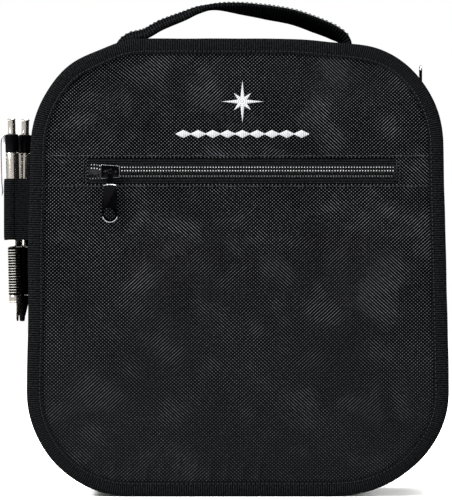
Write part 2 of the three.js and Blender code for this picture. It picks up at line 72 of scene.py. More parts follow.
def srgb(code):
    """A hex colour as linear red, green, blue and alpha."""
    share = np.array([int(code[i : i + 2], 16) for i in (1, 3, 5)]) / 255
    linear = np.where(share <= 0.04045, share / 12.92, ((share + 0.055) / 1.055) ** 2.4)
    return (*linear.tolist(), 1.0)


# ---- Sizes and colours that a user would change ----


def length(name, description, millimetres):
    """A length property with its default given in millimetres."""
    return bpy.props.FloatProperty(
        name=name, description=description, default=millimetres * MM, min=0.0, unit="LENGTH", precision=5
    )


def colour(name, description, code):
    """A colour property with its default given as a hex colour."""
    return bpy.props.FloatVectorProperty(
        name=name, description=description, default=srgb(code), size=4, min=0.0, max=1.0, subtype="COLOR"
    )


class FlightBagSizes(bpy.types.PropertyGroup):
    """Lengths that set how coarse the cloth, seams and zips look."""

    weave_across: length("Weave across", "Distance between like yarns across the canvas", 2.45)
    weave_up: length("Weave up", "Distance between like yarns up the canvas", 2.25)
    crown: length("Panel crown", "How far the padded panels stand out in their middles", 2.2)
    fold_depth: length("Fold depth", "Height of the deepest soft fold in the front cloth", 1.6)
    rib_pitch: length("Binding rib highlight pitch", "Distance between the ribs of the binding tape", 1.5)
    stitch_pitch: length("Stitch pitch", "Distance between stitches in a seam", 2.9)
    tooth_pitch: length("Tooth pitch", "Distance between zip teeth on one side", 1.8)
    grip_pitch: length("Grip ring pitch", "Distance between the rings on a pen's grip", 1.75)


class FlightBagColours(bpy.types.PropertyGroup):
    """Colours of the cloth, metal and plastic."""

    canvas_low: colour("Canvas shadow", "Canvas between the yarns", "#010101")
    # Painted highlight: the glint colour on the tops of the canvas yarns.
    canvas_glint: colour("Canvas glint", "Top of a canvas yarn", "#4e5054")
    binding_low: colour("Binding shadow", "Binding tape between its ribs", "#010101")
    # Painted highlight: the colour on the tops of the binding's ribs.
    binding_rib_highlight: colour("Binding rib highlight", "Top of a binding rib", "#111213")
    webbing_low: colour("Webbing shadow", "Handle webbing between its ribs", "#010101")
    # Painted highlight: the colour on the tops of the webbing's ribs.
    webbing_high: colour("Webbing rib", "Top of a handle rib", "#0e0f10")
    lining: colour("Lining", "Smooth inner cloth", "#0b0c0d")
    thread: colour("Seam thread", "Sewing thread in the seams", "#0c0c0d")
    # Painted highlight: the hem thread is lightened where the folded hems catch the light.
    hem_highlight_thread: colour("Lightened hem thread", "Thread along the pocket's folded edges", "#1e1f21")
    embroidery: colour("Embroidery thread", "White embroidery thread", "#8a8b8e")
    nickel: colour("Nickel", "Zip teeth", "#8c8d90")
    black_nickel: colour("Black nickel", "Zip sliders and pulls", "#060607")
    chrome: colour("Pen chrome", "Bright pen metal", "#b4afa8")
    plastic: colour("Pen plastic", "Black pen plastic", "#020203")
    foam: colour("Foam", "Padding foam", "#4a4a4c")
    floor: colour("Floor", "Studio floor", "#f4f4f2")


def size(name):
    """One of the add-on's lengths, in millimetres."""
    return getattr(bpy.context.scene.flight_bag_sizes, name) / MM


def tint(name):
    """One of the add-on's colours, as four linear values."""
    return tuple(getattr(bpy.context.scene.flight_bag_colours, name))


# ---- The bag's edge ----

EDGE_LOW, EDGE_HIGH = (np.array(corner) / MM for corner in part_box("front_binding"))
HEIGHT = EDGE_HIGH[2]
HALF_WIDTH_BOTTOM = EDGE_HIGH[0]
HALF_WIDTH_TOP = 134.0
TOP_RADIUS = 70.0
BOTTOM_RADIUS = 68.0
SEAM_INSET = 9.0
ZIP_Y = (np.array(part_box("spine_lid_half")[1])[1] + np.array(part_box("spine_shell_half")[0])[1]) / 2 / MM


def smooth(value, low, high):
    """Runs from 0 to 1 between low and high, level at both ends."""
    t = np.clip((value - low) / (high - low), 0, 1)
    return t * t * (3 - 2 * t)


def edge_table(steps=90):
    """The tight hull of the four corner circles: x, z, angle of the outward normal and distance along it.

    It starts under the bag at the right-hand end of the bottom's flat, runs up the right side and round.
    A point is its circle's centre plus the radius along the normal; the straights join the arcs' ends."""
    top_x, bottom_x = HALF_WIDTH_TOP - TOP_RADIUS, HALF_WIDTH_BOTTOM - BOTTOM_RADIUS
    dx, dz = top_x - bottom_x, HEIGHT - TOP_RADIUS - BOTTOM_RADIUS
    tilt = math.asin((BOTTOM_RADIUS - TOP_RADIUS) / math.hypot(dx, dz)) - math.atan2(dx, dz)
    quarter = math.pi / 2
    arcs = [
        (bottom_x, BOTTOM_RADIUS, BOTTOM_RADIUS, -quarter, tilt),
        (top_x, HEIGHT - TOP_RADIUS, TOP_RADIUS, tilt, quarter),
        (-top_x, HEIGHT - TOP_RADIUS, TOP_RADIUS, quarter, 2 * quarter - tilt),
        (-bottom_x, BOTTOM_RADIUS, BOTTOM_RADIUS, 2 * quarter - tilt, 3 * quarter),
    ]
    angle = np.concatenate([np.linspace(a[3], a[4], steps + 1) for a in arcs])
    centre_x, centre_z, radius = (np.repeat([a[k] for a in arcs], steps + 1) for k in (0, 1, 2))
    x, z = centre_x + radius * np.cos(angle), centre_z + radius * np.sin(angle)
    x, z, angle = np.append(x, x[0]), np.append(z, z[0]), np.append(angle, angle[-1])
    along = np.concatenate([[0], np.cumsum(np.hypot(np.diff(x), np.diff(z)))])
    return x, z, angle, along


EDGE_X, EDGE_Z, EDGE_ANGLE, EDGE_ALONG = edge_table()
EDGE_LENGTH = EDGE_ALONG[-1]
ZIP_LENGTH = EDGE_ALONG[-2]


def edge_at(along):
    """x, z and the outward normal of the edge at distances along it."""
    place = np.mod(along, EDGE_LENGTH)
    angle = np.interp(place, EDGE_ALONG, EDGE_ANGLE)
    x, z = np.interp(place, EDGE_ALONG, EDGE_X), np.interp(place, EDGE_ALONG, EDGE_Z)
    return x, z, np.cos(angle), np.sin(angle)


def half_width(z, inset):
    """Half the bag's width at a height, for the edge moved inwards by inset."""
    right = EDGE_ANGLE <= math.pi / 2 + 1e-9
    right[-1] = False
    xs = EDGE_X[right] - inset * np.cos(EDGE_ANGLE[right])
    zs = EDGE_Z[right] - inset * np.sin(EDGE_ANGLE[right])
    return np.interp(z, zs, xs)


def swelling(z):
    """How far the gusset stands out from its seam: flush underneath, full at the sides, slight on top."""
    return 9 - 2 * smooth(z, 5, 60) - 6 * smooth(z, 195, 226)


def settle(points):
    """The soft bag's own lean: its lower right corner lifts and the top corners drop a little, in mm.

    The stiff zip keeps its place in the drop, so that its sliders stay on their teeth. The drop grows in a
    straight line from the zip to each face, so that layers with few points across stay together."""
    x, y, z = points.T
    lift = 3.2 * smooth(x, 45, 130) * (1 - smooth(z, 0, 70))
    drop = 2.6 * np.exp(-(((x + 90) / 16) ** 2)) + 3.0 * np.exp(-(((x - 70) / 22) ** 2))
    moved = points.copy()
    moved[:, 0] -= 1.2 * smooth(-x, 90, 134) * smooth(z, 110, 170) * (1 - smooth(z, 220, 270))
    share = np.interp(y - ZIP_Y, [-15, -8.3, 8.3, 44], [1, 0, 0, 1])
    moved[:, 2] += lift - drop * smooth(z, 230, 290) * share
    return moved


# ---- From arrays to pieces ----


def sweep(sections, uv=None, closed=False):
    """Joins a stack of closed sections, rows by columns by 3, with quads.

    Row i joins row i + 1 and column j joins column j + 1, which wraps; open ends are closed by strips of
    quads that run from one side of the section to the other."""
    rows, cols = sections.shape[:2]
    index = np.arange(rows * cols).reshape(rows, cols)
    lower = index if closed else index[:-1]
    upper = np.roll(index, -1, axis=0) if closed else index[1:]
    quads = np.stack([lower, np.roll(lower, -1, 1), np.roll(upper, -1, 1), upper], -1).reshape(-1, 4)
    if not closed:
        half = np.arange(cols // 2 - 1)
        strip = np.stack([half, half + 1, cols - 2 - half, cols - 1 - half], -1)
        quads = np.concatenate([quads, index[0][strip], index[-1][strip][:, ::-1]])
    if uv is None:
        uv = np.zeros((rows, cols, 2))
    return sections.reshape(-1, 3), quads, uv.reshape(-1, 2)


def many(sections, uv=None):
    """The same sweep for a whole set of small shapes: sections are count by rows by columns by 3."""
    count, rows, cols = sections.shape[:3]
    _, quads, _ = sweep(sections[0])
    offsets = np.arange(count)[:, None, None] * rows * cols
    if uv is None:
        uv = np.zeros((count * rows * cols, 2))
    return sections.reshape(-1, 3), (quads[None] + offsets).reshape(-1, 4), uv.reshape(-1, 2)


def merged(parts):
    """Several swept parts as one set of points, quads and uv."""
    starts = np.cumsum([0] + [len(p[0]) for p in parts[:-1]])
    return (
        np.concatenate([p[0] for p in parts]),
        np.concatenate([p[1] + start for p, start in zip(parts, starts)]),
        np.concatenate([p[2] for p in parts]),
    )


def add_piece(name, parts, finish, body, replaces=(), wrap=None, soft=True, crease=40):
    """Makes one object of swept parts, rides it on its body and hides the CAD parts it stands for.

    uv is in metres in the map Cloth; wrap is the distance round a closed ring, in millimetres."""
    points, quads, uv = merged(parts)
    if soft:
        points = settle(points)
    mesh = bpy.data.meshes.new(name)
    mesh.from_pydata((points * MM).tolist(), [], quads.tolist())
    loops = uv[quads]
    if wrap:
        late = loops[..., 0].max(1) - loops[..., 0].min(1) > wrap / 2
        loops[..., 0] += np.where(late[:, None] & (loops[..., 0] < wrap / 2), wrap, 0)
    layer = mesh.uv_layers.new(name="Cloth")
    layer.data.foreach_set("uv", (loops * MM).astype(np.float32).ravel())
    shell = bmesh.new()
    shell.from_mesh(mesh)
    bmesh.ops.recalc_face_normals(shell, faces=shell.faces)
    shell.to_mesh(mesh)
    shell.free()
    mesh.shade_smooth()
    mesh.set_sharp_from_angle(angle=math.radians(crease))
    piece = bpy.data.objects.new(name, mesh)
    bpy.context.collection.objects.link(piece)
    mesh.materials.append(finish)
    if body:
        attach(piece, body)
    if replaces:
        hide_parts(*replaces)
    return piece


def add_seam(name, rows, body, soft=True, finish=None):
    """One object of stitches in seam thread, or in another finish, riding on its body."""
    return add_piece(name, rows, finish or bonded_seam_thread(), body, soft=soft, crease=180)


def box_of(node):
    """Lowest and highest corner of a CAD node, in millimetres."""
    low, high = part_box(node)
    return np.array(low) / MM, np.array(high) / MM


# ---- Materials ----


def add_node(tree, kind, inputs=(), output=0, **settings):
    """Adds one node with its settings and links, and gives one of its outputs.

    inputs holds a value or another node's output for each socket: by name or number, or in order."""
    made = tree.nodes.new("ShaderNode" + kind)
    for name, value in settings.items():
        setattr(made, name, value)
    for key, value in inputs.items() if isinstance(inputs, dict) else enumerate(inputs):
        if isinstance(value, bpy.types.NodeSocket):
            tree.links.new(value, made.inputs[key])
        else:
            made.inputs[key].default_value = value
    return made.outputs[output]


def start_finish(name, **shader):
    """A new material, or the one already made under this name, with its shader's fixed values set."""
    made = bpy.data.materials.get(name)
    if made:
        return made, None, None
    made = bpy.data.materials.new(name)
    made.use_nodes = True
    tree = made.node_tree
    principled = tree.nodes["Principled BSDF"]
    for socket, value in shader.items():
        principled.inputs[socket.replace("_", " ")].default_value = value
    return made, tree, principled


def cloth_axes(tree):
    """The piece's own cloth map and its two directions, in metres."""
    where = add_node(tree, "UVMap", uv_map="Cloth")
    first = add_node(tree, "SeparateXYZ", (where,))
    return where, first, first.node.outputs[1]


def shaded(code, share):
    """A colour taken down to a share of its brightness."""
    return tuple(share * c for c in code[:3]) + (1.0,)


def woven_nylon_canvas():
    """Woven nylon canvas, coated behind: dull, with painted glints on the yarn crowns where two yarns
    cross.

    The height is a weighted difference of two diagonal waves, which is a plain weave where the weights
    match; slow noise shifts the weights, as the yarns really lean one way or the other. The weave is drawn
    as coarse as it needs to show. Noise scales are features per metre."""
    made, tree, shader = start_finish("Woven nylon canvas", Roughness=0.6, Specular_IOR_Level=0.0)
    if tree is None:
        return made
    where, across, up = cloth_axes(tree)
    wobble = add_node(
        tree,
        "Math",
        (add_node(tree, "TexNoise", {"Vector": where, "Scale": 160.0}), 0.9),
        operation="MULTIPLY",
    )
    u = add_node(
        tree, "Math", (across, 2 * math.pi / (size("weave_across") * MM), wobble), operation="MULTIPLY_ADD"
    )
    v = add_node(tree, "Math", (up, 2 * math.pi / (size("weave_up") * MM)), operation="MULTIPLY")
    rising = add_node(
        tree, "Math", (add_node(tree, "Math", (u, v), operation="SUBTRACT"),), operation="COSINE"
    )
    falling = add_node(tree, "Math", (add_node(tree, "Math", (u, v), operation="ADD"),), operation="COSINE")
    lean = add_node(
        tree,
        "MapRange",
        (add_node(tree, "TexNoise", {"Vector": where, "Scale": 26.0}), 0.36, 0.64, 0.12, 0.88),
        clamp=True,
    )
    other = add_node(tree, "Math", (1.0, lean), operation="SUBTRACT")
    weave = add_node(
        tree,
        "Math",
        (
            add_node(tree, "Math", (rising, lean), operation="MULTIPLY"),
            add_node(tree, "Math", (falling, other), operation="MULTIPLY"),
        ),
        operation="SUBTRACT",
    )
    height = add_node(tree, "MapRange", (weave, -1.0, 1.0), clamp=True)
    # Painted highlight: fine noise makes some glints brighter than others.
    glint_jitter = add_node(
        tree,
        "MapRange",
        (
            add_node(tree, "TexNoise", {"Vector": where, "Scale": 420.0, "Detail": 3.0}),
            0.3,
            0.75,
            0.45,
            1.3,
        ),
        clamp=True,
    )
    # Painted highlight: slow noise makes the painted glints stronger in some patches and weaker in others.
    tarnish_and_glint_strength = add_node(
        tree,
        "MapRange",
        (add_node(tree, "TexNoise", {"Vector": where, "Scale": 17.0}), 0.35, 0.7, 0.7, 1.15),
        clamp=True,
    )
    # Painted highlight: only the tops of the weave take the light canvas colour, as glints on the yarn
    # crowns.
    crown_glints = add_node(tree, "Math", (height, 9.0), operation="POWER")
    # Painted light: the glints fade out towards the bottom of the panel, which takes a faint even
    # lightening instead.
    dull = add_node(tree, "MapRange", (up, 0.03, 0.16, 0.6, 0.0), clamp=True)
    tarnish_and_glint_strength = add_node(
        tree,
        "Math",
        (tarnish_and_glint_strength, add_node(tree, "Math", (1.0, dull), operation="SUBTRACT")),
        operation="MULTIPLY",
    )
    share = add_node(
        tree,
        "Math",
        (add_node(tree, "Math", (crown_glints, glint_jitter), operation="MULTIPLY"), tarnish_and_glint_strength),
        operation="MULTIPLY",
    )
    share = add_node(tree, "Math", (dull, 0.03, share), operation="MULTIPLY_ADD")
    tree.links.new(
        add_node(
            tree,
            "Mix",
            {0: share, 6: tint("canvas_low"), 7: tint("canvas_glint")},
            output=2,
            data_type="RGBA",
        ),
        shader.inputs["Base Color"],
    )
    tree.links.new(
        add_node(tree, "Bump", {"Height": height, "Distance": 0.5 * MM}), shader.inputs["Normal"]
    )
    return made


def ribbed_tape(name, low, high, pitch_mm, depth_mm, axis, roughness=0.6):
    """A woven tape with round ribs: the height is a raised cosine along one axis of the cloth map."""
    made, tree, shader = start_finish(name, Roughness=roughness, Specular_IOR_Level=0.0)
    if tree is None:
        return made
    where, *axes = cloth_axes(tree)
    turn = add_node(tree, "Math", (axes[axis], 2 * math.pi / (pitch_mm * MM)), operation="MULTIPLY")
    shake = add_node(
        tree,
        "Math",
        (add_node(tree, "TexNoise", {"Vector": where, "Scale": 130.0}), 1.6, turn),
        operation="MULTIPLY_ADD",
    )
    ribs = add_node(
        tree, "MapRange", (add_node(tree, "Math", (shake,), operation="COSINE"), -1.0, 1.0), clamp=True
    )
    grain = add_node(
        tree,
        "MapRange",
        (
            add_node(tree, "TexNoise", {"Vector": where, "Scale": 700.0, "Detail": 3.0}),
            0.3,
            0.75,
            0.25,
            1.25,
        ),
        clamp=True,
    )
    # Painted highlight: the rib tops take the lighter colour and the hollows between them the darker one,
    # broken up by fine grain.
    share = add_node(tree, "Math", (ribs, grain), operation="MULTIPLY")
    tree.links.new(
        add_node(tree, "Mix", {0: share, 6: low, 7: high}, output=2, data_type="RGBA"),
        shader.inputs["Base Color"],
    )
    tree.links.new(
        add_node(tree, "Bump", {"Height": ribs, "Distance": depth_mm * MM}), shader.inputs["Normal"]
    )
    return made


def grosgrain_binding():
    """Polyester grosgrain: fine ribs across a narrow tape, each catching a thin line of light."""
    return ribbed_tape(
        "Grosgrain polyester binding", tint("binding_low"), tint("binding_rib_highlight"), size("rib_pitch"), 0.3, 0
    )


def polyester_zip_tape():
    """Knitted polyester zip tape: flat and black with a fine rib along it, drawn coarse enough to show."""
    return ribbed_tape(
        "Knitted polyester zip tape", tint("binding_low"), tint("binding_rib_highlight"), 1.6, 0.12, 1
    )


def polypropylene_webbing():
    """Polypropylene webbing: stiff shiny yarns in coarse ribs across the strap."""
    return ribbed_tape(
        "Ribbed polypropylene webbing",
        tint("webbing_low"),
        tint("webbing_high"),
        1.9,
        0.45,
        0,
        roughness=0.45,
    )


def knitted_elastic():
    """Knitted elastic: rubber cords run along the strip and stand up as close round ribs."""
    return ribbed_tape("Knitted elastic", tint("webbing_low"), tint("webbing_high"), 1.3, 0.3, 1)


def nylon_taffeta_lining():
    """Smooth nylon taffeta: a very fine weave with a faint gloss and soft creases."""
    made, tree, shader = start_finish("Smooth nylon taffeta lining", Roughness=0.5, Specular_IOR_Level=0.25)
    if tree is None:
        return made
    where, across, up = cloth_axes(tree)
    fine = 2 * math.pi / (0.9 * MM)
    weave = add_node(
        tree,
        "Math",
        (
            add_node(
                tree,
                "Math",
                (add_node(tree, "Math", (across, fine), operation="MULTIPLY"),),
                operation="SINE",
            ),
            add_node(
                tree, "Math", (add_node(tree, "Math", (up, fine), operation="MULTIPLY"),), operation="SINE"
            ),
        ),
        operation="MULTIPLY",
    )
    creases = add_node(tree, "TexNoise", {"Vector": where, "Scale": 45.0, "Detail": 4.0})
    height = add_node(tree, "Math", (weave, 0.12, creases), operation="MULTIPLY_ADD")
    # Painted shade: the low parts of the weave and the hollows of the creases take the darker colour.
    shade = shaded(tint("lining"), 0.6)
    share = add_node(tree, "MapRange", (height, 0.3, 0.75), clamp=True)
    tree.links.new(
        add_node(tree, "Mix", {0: share, 6: shade, 7: tint("lining")}, output=2, data_type="RGBA"),
        shader.inputs["Base Color"],
    )
    tree.links.new(
        add_node(tree, "Bump", {"Height": height, "Distance": 0.5 * MM}), shader.inputs["Normal"]
    )
    return made


def twisted_thread(name, code, gloss):
    """Bonded thread: filaments wound at a slant show as fine glossy stripes along each stitch, painted into
    its colour as highlights.
    """
    made, tree, shader = start_finish(name, Roughness=gloss, Specular_IOR_Level=0.06)
    if tree is None:
        return made
    where, along, across = cloth_axes(tree)
    turn = add_node(
        tree,
        "Math",
        (add_node(tree, "Math", (along, across), operation="ADD"), 2 * math.pi / (1.3 * MM)),
        operation="MULTIPLY",
    )
    strands = add_node(
        tree, "MapRange", (add_node(tree, "Math", (turn,), operation="SINE"), -1.0, 1.0), clamp=True
    )
    fleck = add_node(
        tree,
        "MapRange",
        (add_node(tree, "TexNoise", {"Vector": where, "Scale": 900.0}), 0.3, 0.7, 0.6, 1.0),
        clamp=True,
    )
    # Painted highlight and shade: the strand tops take the thread's colour, the grooves between them a
    # darker copy.
    low = shaded(code, 0.45)
    share = add_node(tree, "Math", (strands, fleck), operation="MULTIPLY")
    tree.links.new(
        add_node(tree, "Mix", {0: share, 6: low, 7: code}, output=2, data_type="RGBA"),
        shader.inputs["Base Color"],
    )
    tree.links.new(
        add_node(tree, "Bump", {"Height": strands, "Distance": 0.25 * MM}), shader.inputs["Normal"]
    )
    return made


def bonded_seam_thread():
    """Black bonded nylon thread, with a slight gloss that marks the seams."""
    return twisted_thread("Bonded nylon seam thread", tint("thread"), 0.4)


def lightened_hem_topstitching():
    """Spun polyester topstitching along the pocket's hems: duller than the seams, and lightened as a
    painted highlight where the folded hems catch the light.
    """
    return twisted_thread("Spun polyester topstitching", tint("hem_highlight_thread"), 0.6)


def rayon_embroidery():
    """White rayon embroidery thread laid side by side as satin stitch."""
    return twisted_thread("White rayon embroidery", tint("embroidery"), 0.45)


def metal_finish(name, code, roughness, tarnish_and_glint_strength, coarse_mm):
    """A plated or polished metal: slow tarnish changes its colour and fine scratches its roughness."""
    made, tree, shader = start_finish(name, Metallic=1.0)
    if tree is None:
        return made
    place = add_node(tree, "TexCoord", output="Object")
    stain = add_node(tree, "TexNoise", {"Vector": place, "Scale": 1000 / coarse_mm, "Detail": 3.0})
    dark = shaded(code, 1 - tarnish_and_glint_strength)
    tree.links.new(
        add_node(
            tree,
            "Mix",
            {0: add_node(tree, "MapRange", (stain, 0.3, 0.65), clamp=True), 6: dark, 7: code},
            output=2,
            data_type="RGBA",
        ),
        shader.inputs["Base Color"],
    )
    scratch = add_node(
        tree,
        "MapRange",
        (
            add_node(tree, "TexNoise", {"Vector": place, "Scale": 2500.0, "Detail": 4.0}),
            0.3,
            0.7,
            0.6 * roughness,
            1.5 * roughness,
        ),
        clamp=True,
    )
    tree.links.new(scratch, shader.inputs["Roughness"])
    tree.links.new(
        add_node(tree, "Bump", {"Height": scratch, "Distance": 0.02 * MM}), shader.inputs["Normal"]
    )
    return made


def blackened_nickel_teeth():
    """Blackened nickel-plated brass, tumbled: dark, with painted highlights of bright nickel at both ends
    of each tooth.

    The cloth map's second axis runs along each tooth, from its root at the tape to its head."""
    made, tree, shader = start_finish("Blackened nickel plate", Metallic=1.0, Roughness=0.22)
    if tree is None:
        return made
    _, _, along = cloth_axes(tree)
    # Painted highlights: bright nickel at the root and the head of each tooth, broken up by noise.
    root = add_node(tree, "MapRange", (along, 0.5 * MM, 0.9 * MM, 1.0, 0.0), clamp=True)
    head = add_node(tree, "MapRange", (along, 2.1 * MM, 2.6 * MM), clamp=True)
    painted_highlight = add_node(tree, "Math", (root, head), operation="MAXIMUM")
    place = add_node(tree, "TexCoord", output="Object")
    painted_highlight = add_node(
        tree,
        "Math",
        (
            painted_highlight,
            add_node(
                tree,
                "MapRange",
                (add_node(tree, "TexNoise", {"Vector": place, "Scale": 600.0}), 0.3, 0.6, 0.5, 1.0),
                clamp=True,
            ),
        ),
        operation="MULTIPLY",
    )
    tree.links.new(
        add_node(
            tree, "Mix", {0: painted_highlight, 6: tint("black_nickel"), 7: tint("nickel")}, output=2, data_type="RGBA"
        ),
        shader.inputs["Base Color"],
    )
    tree.links.new(
        add_node(
            tree,
            "Bump",
            {
                "Height": add_node(tree, "TexNoise", {"Vector": place, "Scale": 2500.0}),
                "Distance": 0.03 * MM,
            },
        ),
        shader.inputs["Normal"],
    )
    return made


def black_nickel_plate():
    """Black nickel over cast zinc: a dark mirror, with painted highlights of bright nickel on its proudest
    edges.

    The second axis of the cloth map is the strength of the painted highlight, in millimetres."""
    made, tree, shader = start_finish("Black nickel plate", Metallic=1.0)
    if tree is None:
        return made
    _, _, painted_highlight = cloth_axes(tree)
    place = add_node(tree, "TexCoord", output="Object")
    patchy = add_node(
        tree,
        "MapRange",
        (add_node(tree, "TexNoise", {"Vector": place, "Scale": 900.0}), 0.35, 0.6, 0.4, 1.0),
        clamp=True,
    )
    share = add_node(
        tree,
        "Math",
        (add_node(tree, "MapRange", (painted_highlight, 0.15 * MM, 0.9 * MM), clamp=True), patchy),
        operation="MULTIPLY",
    )
    tree.links.new(
        add_node(
            tree, "Mix", {0: share, 6: tint("black_nickel"), 7: tint("nickel")}, output=2, data_type="RGBA"
        ),
        shader.inputs["Base Color"],
    )
    scratch = add_node(
        tree,
        "MapRange",
        (
            add_node(tree, "TexNoise", {"Vector": place, "Scale": 2500.0, "Detail": 4.0}),
            0.3,
            0.7,
            0.12,
            0.3,
        ),
        clamp=True,
    )
    tree.links.new(scratch, shader.inputs["Roughness"])
    tree.links.new(
        add_node(tree, "Bump", {"Height": scratch, "Distance": 0.02 * MM}), shader.inputs["Normal"]
    )
    return made


def pen_chrome():
    """Satin chrome on brass tube: bright, with stretched soft reflections."""
    return metal_finish("Satin chrome plate", tint("chrome"), 0.17, 0.16, 9.0)


def spring_wire():
    """Drawn spring steel wire."""
    return metal_finish("Drawn spring steel", tint("nickel"), 0.25, 0.2, 2.0)


def moulded_plastic(name, code, roughness, grain_mm, depth_mm):
    """A moulded plastic with a fine spark-eroded grain that breaks up its reflections."""
    made, tree, shader = start_finish(name, Roughness=roughness, Specular_IOR_Level=0.01)
    if tree is None:
        return made
    place = add_node(tree, "TexCoord", output="Object")
    grain = add_node(tree, "TexNoise", {"Vector": place, "Scale": 1000 / grain_mm, "Detail": 3.0})
    low = shaded(code, 0.7)
    tree.links.new(
        add_node(
            tree,
            "Mix",
            {0: add_node(tree, "MapRange", (grain, 0.3, 0.7), clamp=True), 6: low, 7: code},
            output=2,
            data_type="RGBA",
        ),
        shader.inputs["Base Color"],
    )
    tree.links.new(
        add_node(tree, "Bump", {"Height": grain, "Distance": depth_mm * MM}), shader.inputs["Normal"]
    )
    return made


def pen_plastic():
    """Black ABS of the pens: smooth with a soft gloss."""
    return moulded_plastic("Moulded black ABS", tint("plastic"), 0.28, 1.2, 0.03)


def padding_foam():
    """Closed-cell polyethylene foam: matt grey with small cells."""
    return moulded_plastic("Closed-cell foam", tint("foam"), 0.95, 0.9, 0.25)


def stiffener_board():
    """Black polypropylene board: smooth sheet with a light haze."""
    return moulded_plastic("Polypropylene board", tint("plastic"), 0.5, 6.0, 0.1)


# ---- Cloth panels ----

CLOTH_THICK = 1.1
STITCH_SHARE = 0.78
PANEL_FRONT = -41.2
WINDOW_LOW, WINDOW_HIGH = 203.5, 220.4
PANEL_INSET = 3.0

# Soft folds of the front cloth: ends (x, z), half width and share of the fold depth, in millimetres.
FOLDS = [
    (-73, 226, -56, 250, 3.5, 0.8),
    (-120, 231, -82, 227, 6.0, -0.7),
    (-112, 262, -92, 240, 10.0, 0.7),
    (42, 268, 116, 240, 11.0, 0.9),
    (48, 266, 52, 243, 7.0, -0.7),
    (-6, 196, 27, 148, 9.0, 0.9),
    (27, 148, 73, 115, 9.0, 1.0),
    (73, 115, 128, 113, 9.0, 0.8),
    (58, 199, 106, 178, 4.5, 0.8),
    (44, 190, 70, 140, 16.0, -0.9),
    (92, 132, 126, 142, 4.0, 0.7),
    (-119, 168, -78, 160, 7.0, 0.8),
    (-106, 122, -83, 95, 4.0, 0.6),
    (-60, 196, 20, 194, 5.0, -0.6),
    (-40, 90, 10, 60, 12.0, 0.5),
    (60, 60, 105, 40, 9.0, -0.6),
]
PUCKERS = [(-92 + 10.5 * i, 9 + 3 * (i % 3)) for i in range(11)]


def ridge(x, z, fold):
    """A rounded ridge: a bell across the segment, fading out past its ends."""
    x0, z0, x1, z1, width, share = fold
    length_squared = (x1 - x0) ** 2 + (z1 - z0) ** 2
    t = np.clip(((x - x0) * (x1 - x0) + (z - z0) * (z1 - z0)) / length_squared, 0, 1)
    away = np.hypot(x - x0 - t * (x1 - x0), z - z0 - t * (z1 - z0))
    return share * np.exp(-((away / width) ** 2))


def fill_of_panel(x, z):
    """1 in a panel's middle and 0 at its bound edge and at the pocket's zip."""
    side = smooth(half_width(np.clip(z, 1, HEIGHT - 1), 0) - np.abs(x), 8, 62)
    ends = smooth(z, 8, 70) * smooth(HEIGHT - z, 8, 50)
    above = z > (WINDOW_LOW + WINDOW_HIGH) / 2
    zip_line = np.where(above, smooth(z, WINDOW_HIGH, 250), smooth(WINDOW_LOW - z, 0, 45))
    return side * ends * zip_line


def front_face(x, z):
    """y of the front cloth: the flat panel less its crown, folds, puckers, hems and a fine unevenness."""
    rim = smooth(half_width(np.clip(z, 1, HEIGHT - 1), 0) - np.abs(x), 9, 24)
    rim = rim * smooth(z, 9, 26) * smooth(HEIGHT - z, 9, 24)
    rim = rim * (1 - smooth(z, WINDOW_LOW - 9, WINDOW_LOW) * (1 - smooth(z, WINDOW_HIGH, WINDOW_HIGH + 9)))
    folds = sum(ridge(x, z, fold) for fold in FOLDS)
    puckers = sum(ridge(x, z, (px, 11, px + 1.5, 11 + reach, 1.8, 0.55)) for px, reach in PUCKERS)
    uneven = 0.12 * np.sin(x / 9 + 2 * np.sin(z / 17)) * np.sin(z / 7 + np.sin(x / 23))
    hem = 0.35 * np.exp(-(((z - WINDOW_HIGH - 1.2) / 1.1) ** 2))
    hem = hem + 0.35 * np.exp(-(((z - WINDOW_LOW + 1.2) / 1.1) ** 2))
    raised = size("crown") * fill_of_panel(x, z) + size("fold_depth") * (folds * rim + puckers)
    raised = raised + uneven * rim
    return PANEL_FRONT - np.clip(raised, -0.9, None) - hem


def back_face(x, z):
    """y of the back cloth: the flat panel, its crown and a fine unevenness."""
    side = smooth(half_width(np.clip(z, 1, HEIGHT - 1), 0) - np.abs(x), 8, 62)
    rim = smooth(side, 0, 0.3)
    sag = ridge(x, z, (-70, 60, 60, 40, 14, 0.6)) + ridge(x, z, (-60, 230, 30, 200, 18, 0.5))
    uneven = 0.3 * np.sin(x / 21 + np.sin(z / 27)) * np.sin(z / 19)
    crown = side * smooth(z, 8, 70) * smooth(HEIGHT - z, 8, 60) * 3.0
    return box_of("back_panel")[1][1] + crown + (sag + uneven) * rim


def slab(z_range, inset, outer, thick, limits=None, cols=200, rows=150):
    """A cloth panel between two heights: each row runs from the left edge to the right and back behind.

    outer(x, z) is the y of its face, thick the signed way to its other side, and limits cuts its width."""
    t = (1 - np.cos(np.linspace(0, math.pi, rows))) / 2
    z = z_range[0] + (z_range[1] - z_range[0]) * t
    half = half_width(z, inset)
    left, right = -half, half
    if limits is not None:
        left, right = np.maximum(left, limits[0]), np.minimum(right, limits[1])
    share = np.linspace(0, 1, cols)
    x = left[:, None] + (right - left)[:, None] * share
    z = np.repeat(z[:, None], cols, 1)
    y = outer(x, z)
    face = np.stack([x, y, z], -1)
    rear = np.stack([x, y + thick, z], -1)[:, ::-1]
    uv = np.stack([x, z], -1)
    return sweep(np.concatenate([face, rear], 1), np.concatenate([uv, uv[:, ::-1]], 1))


def flat_at(y):
    """A face that lies in one y plane with a slight unevenness of soft cloth."""
    return lambda x, z: y + 0.15 * np.sin(x / 13 + z / 29) * np.sin(z / 11)


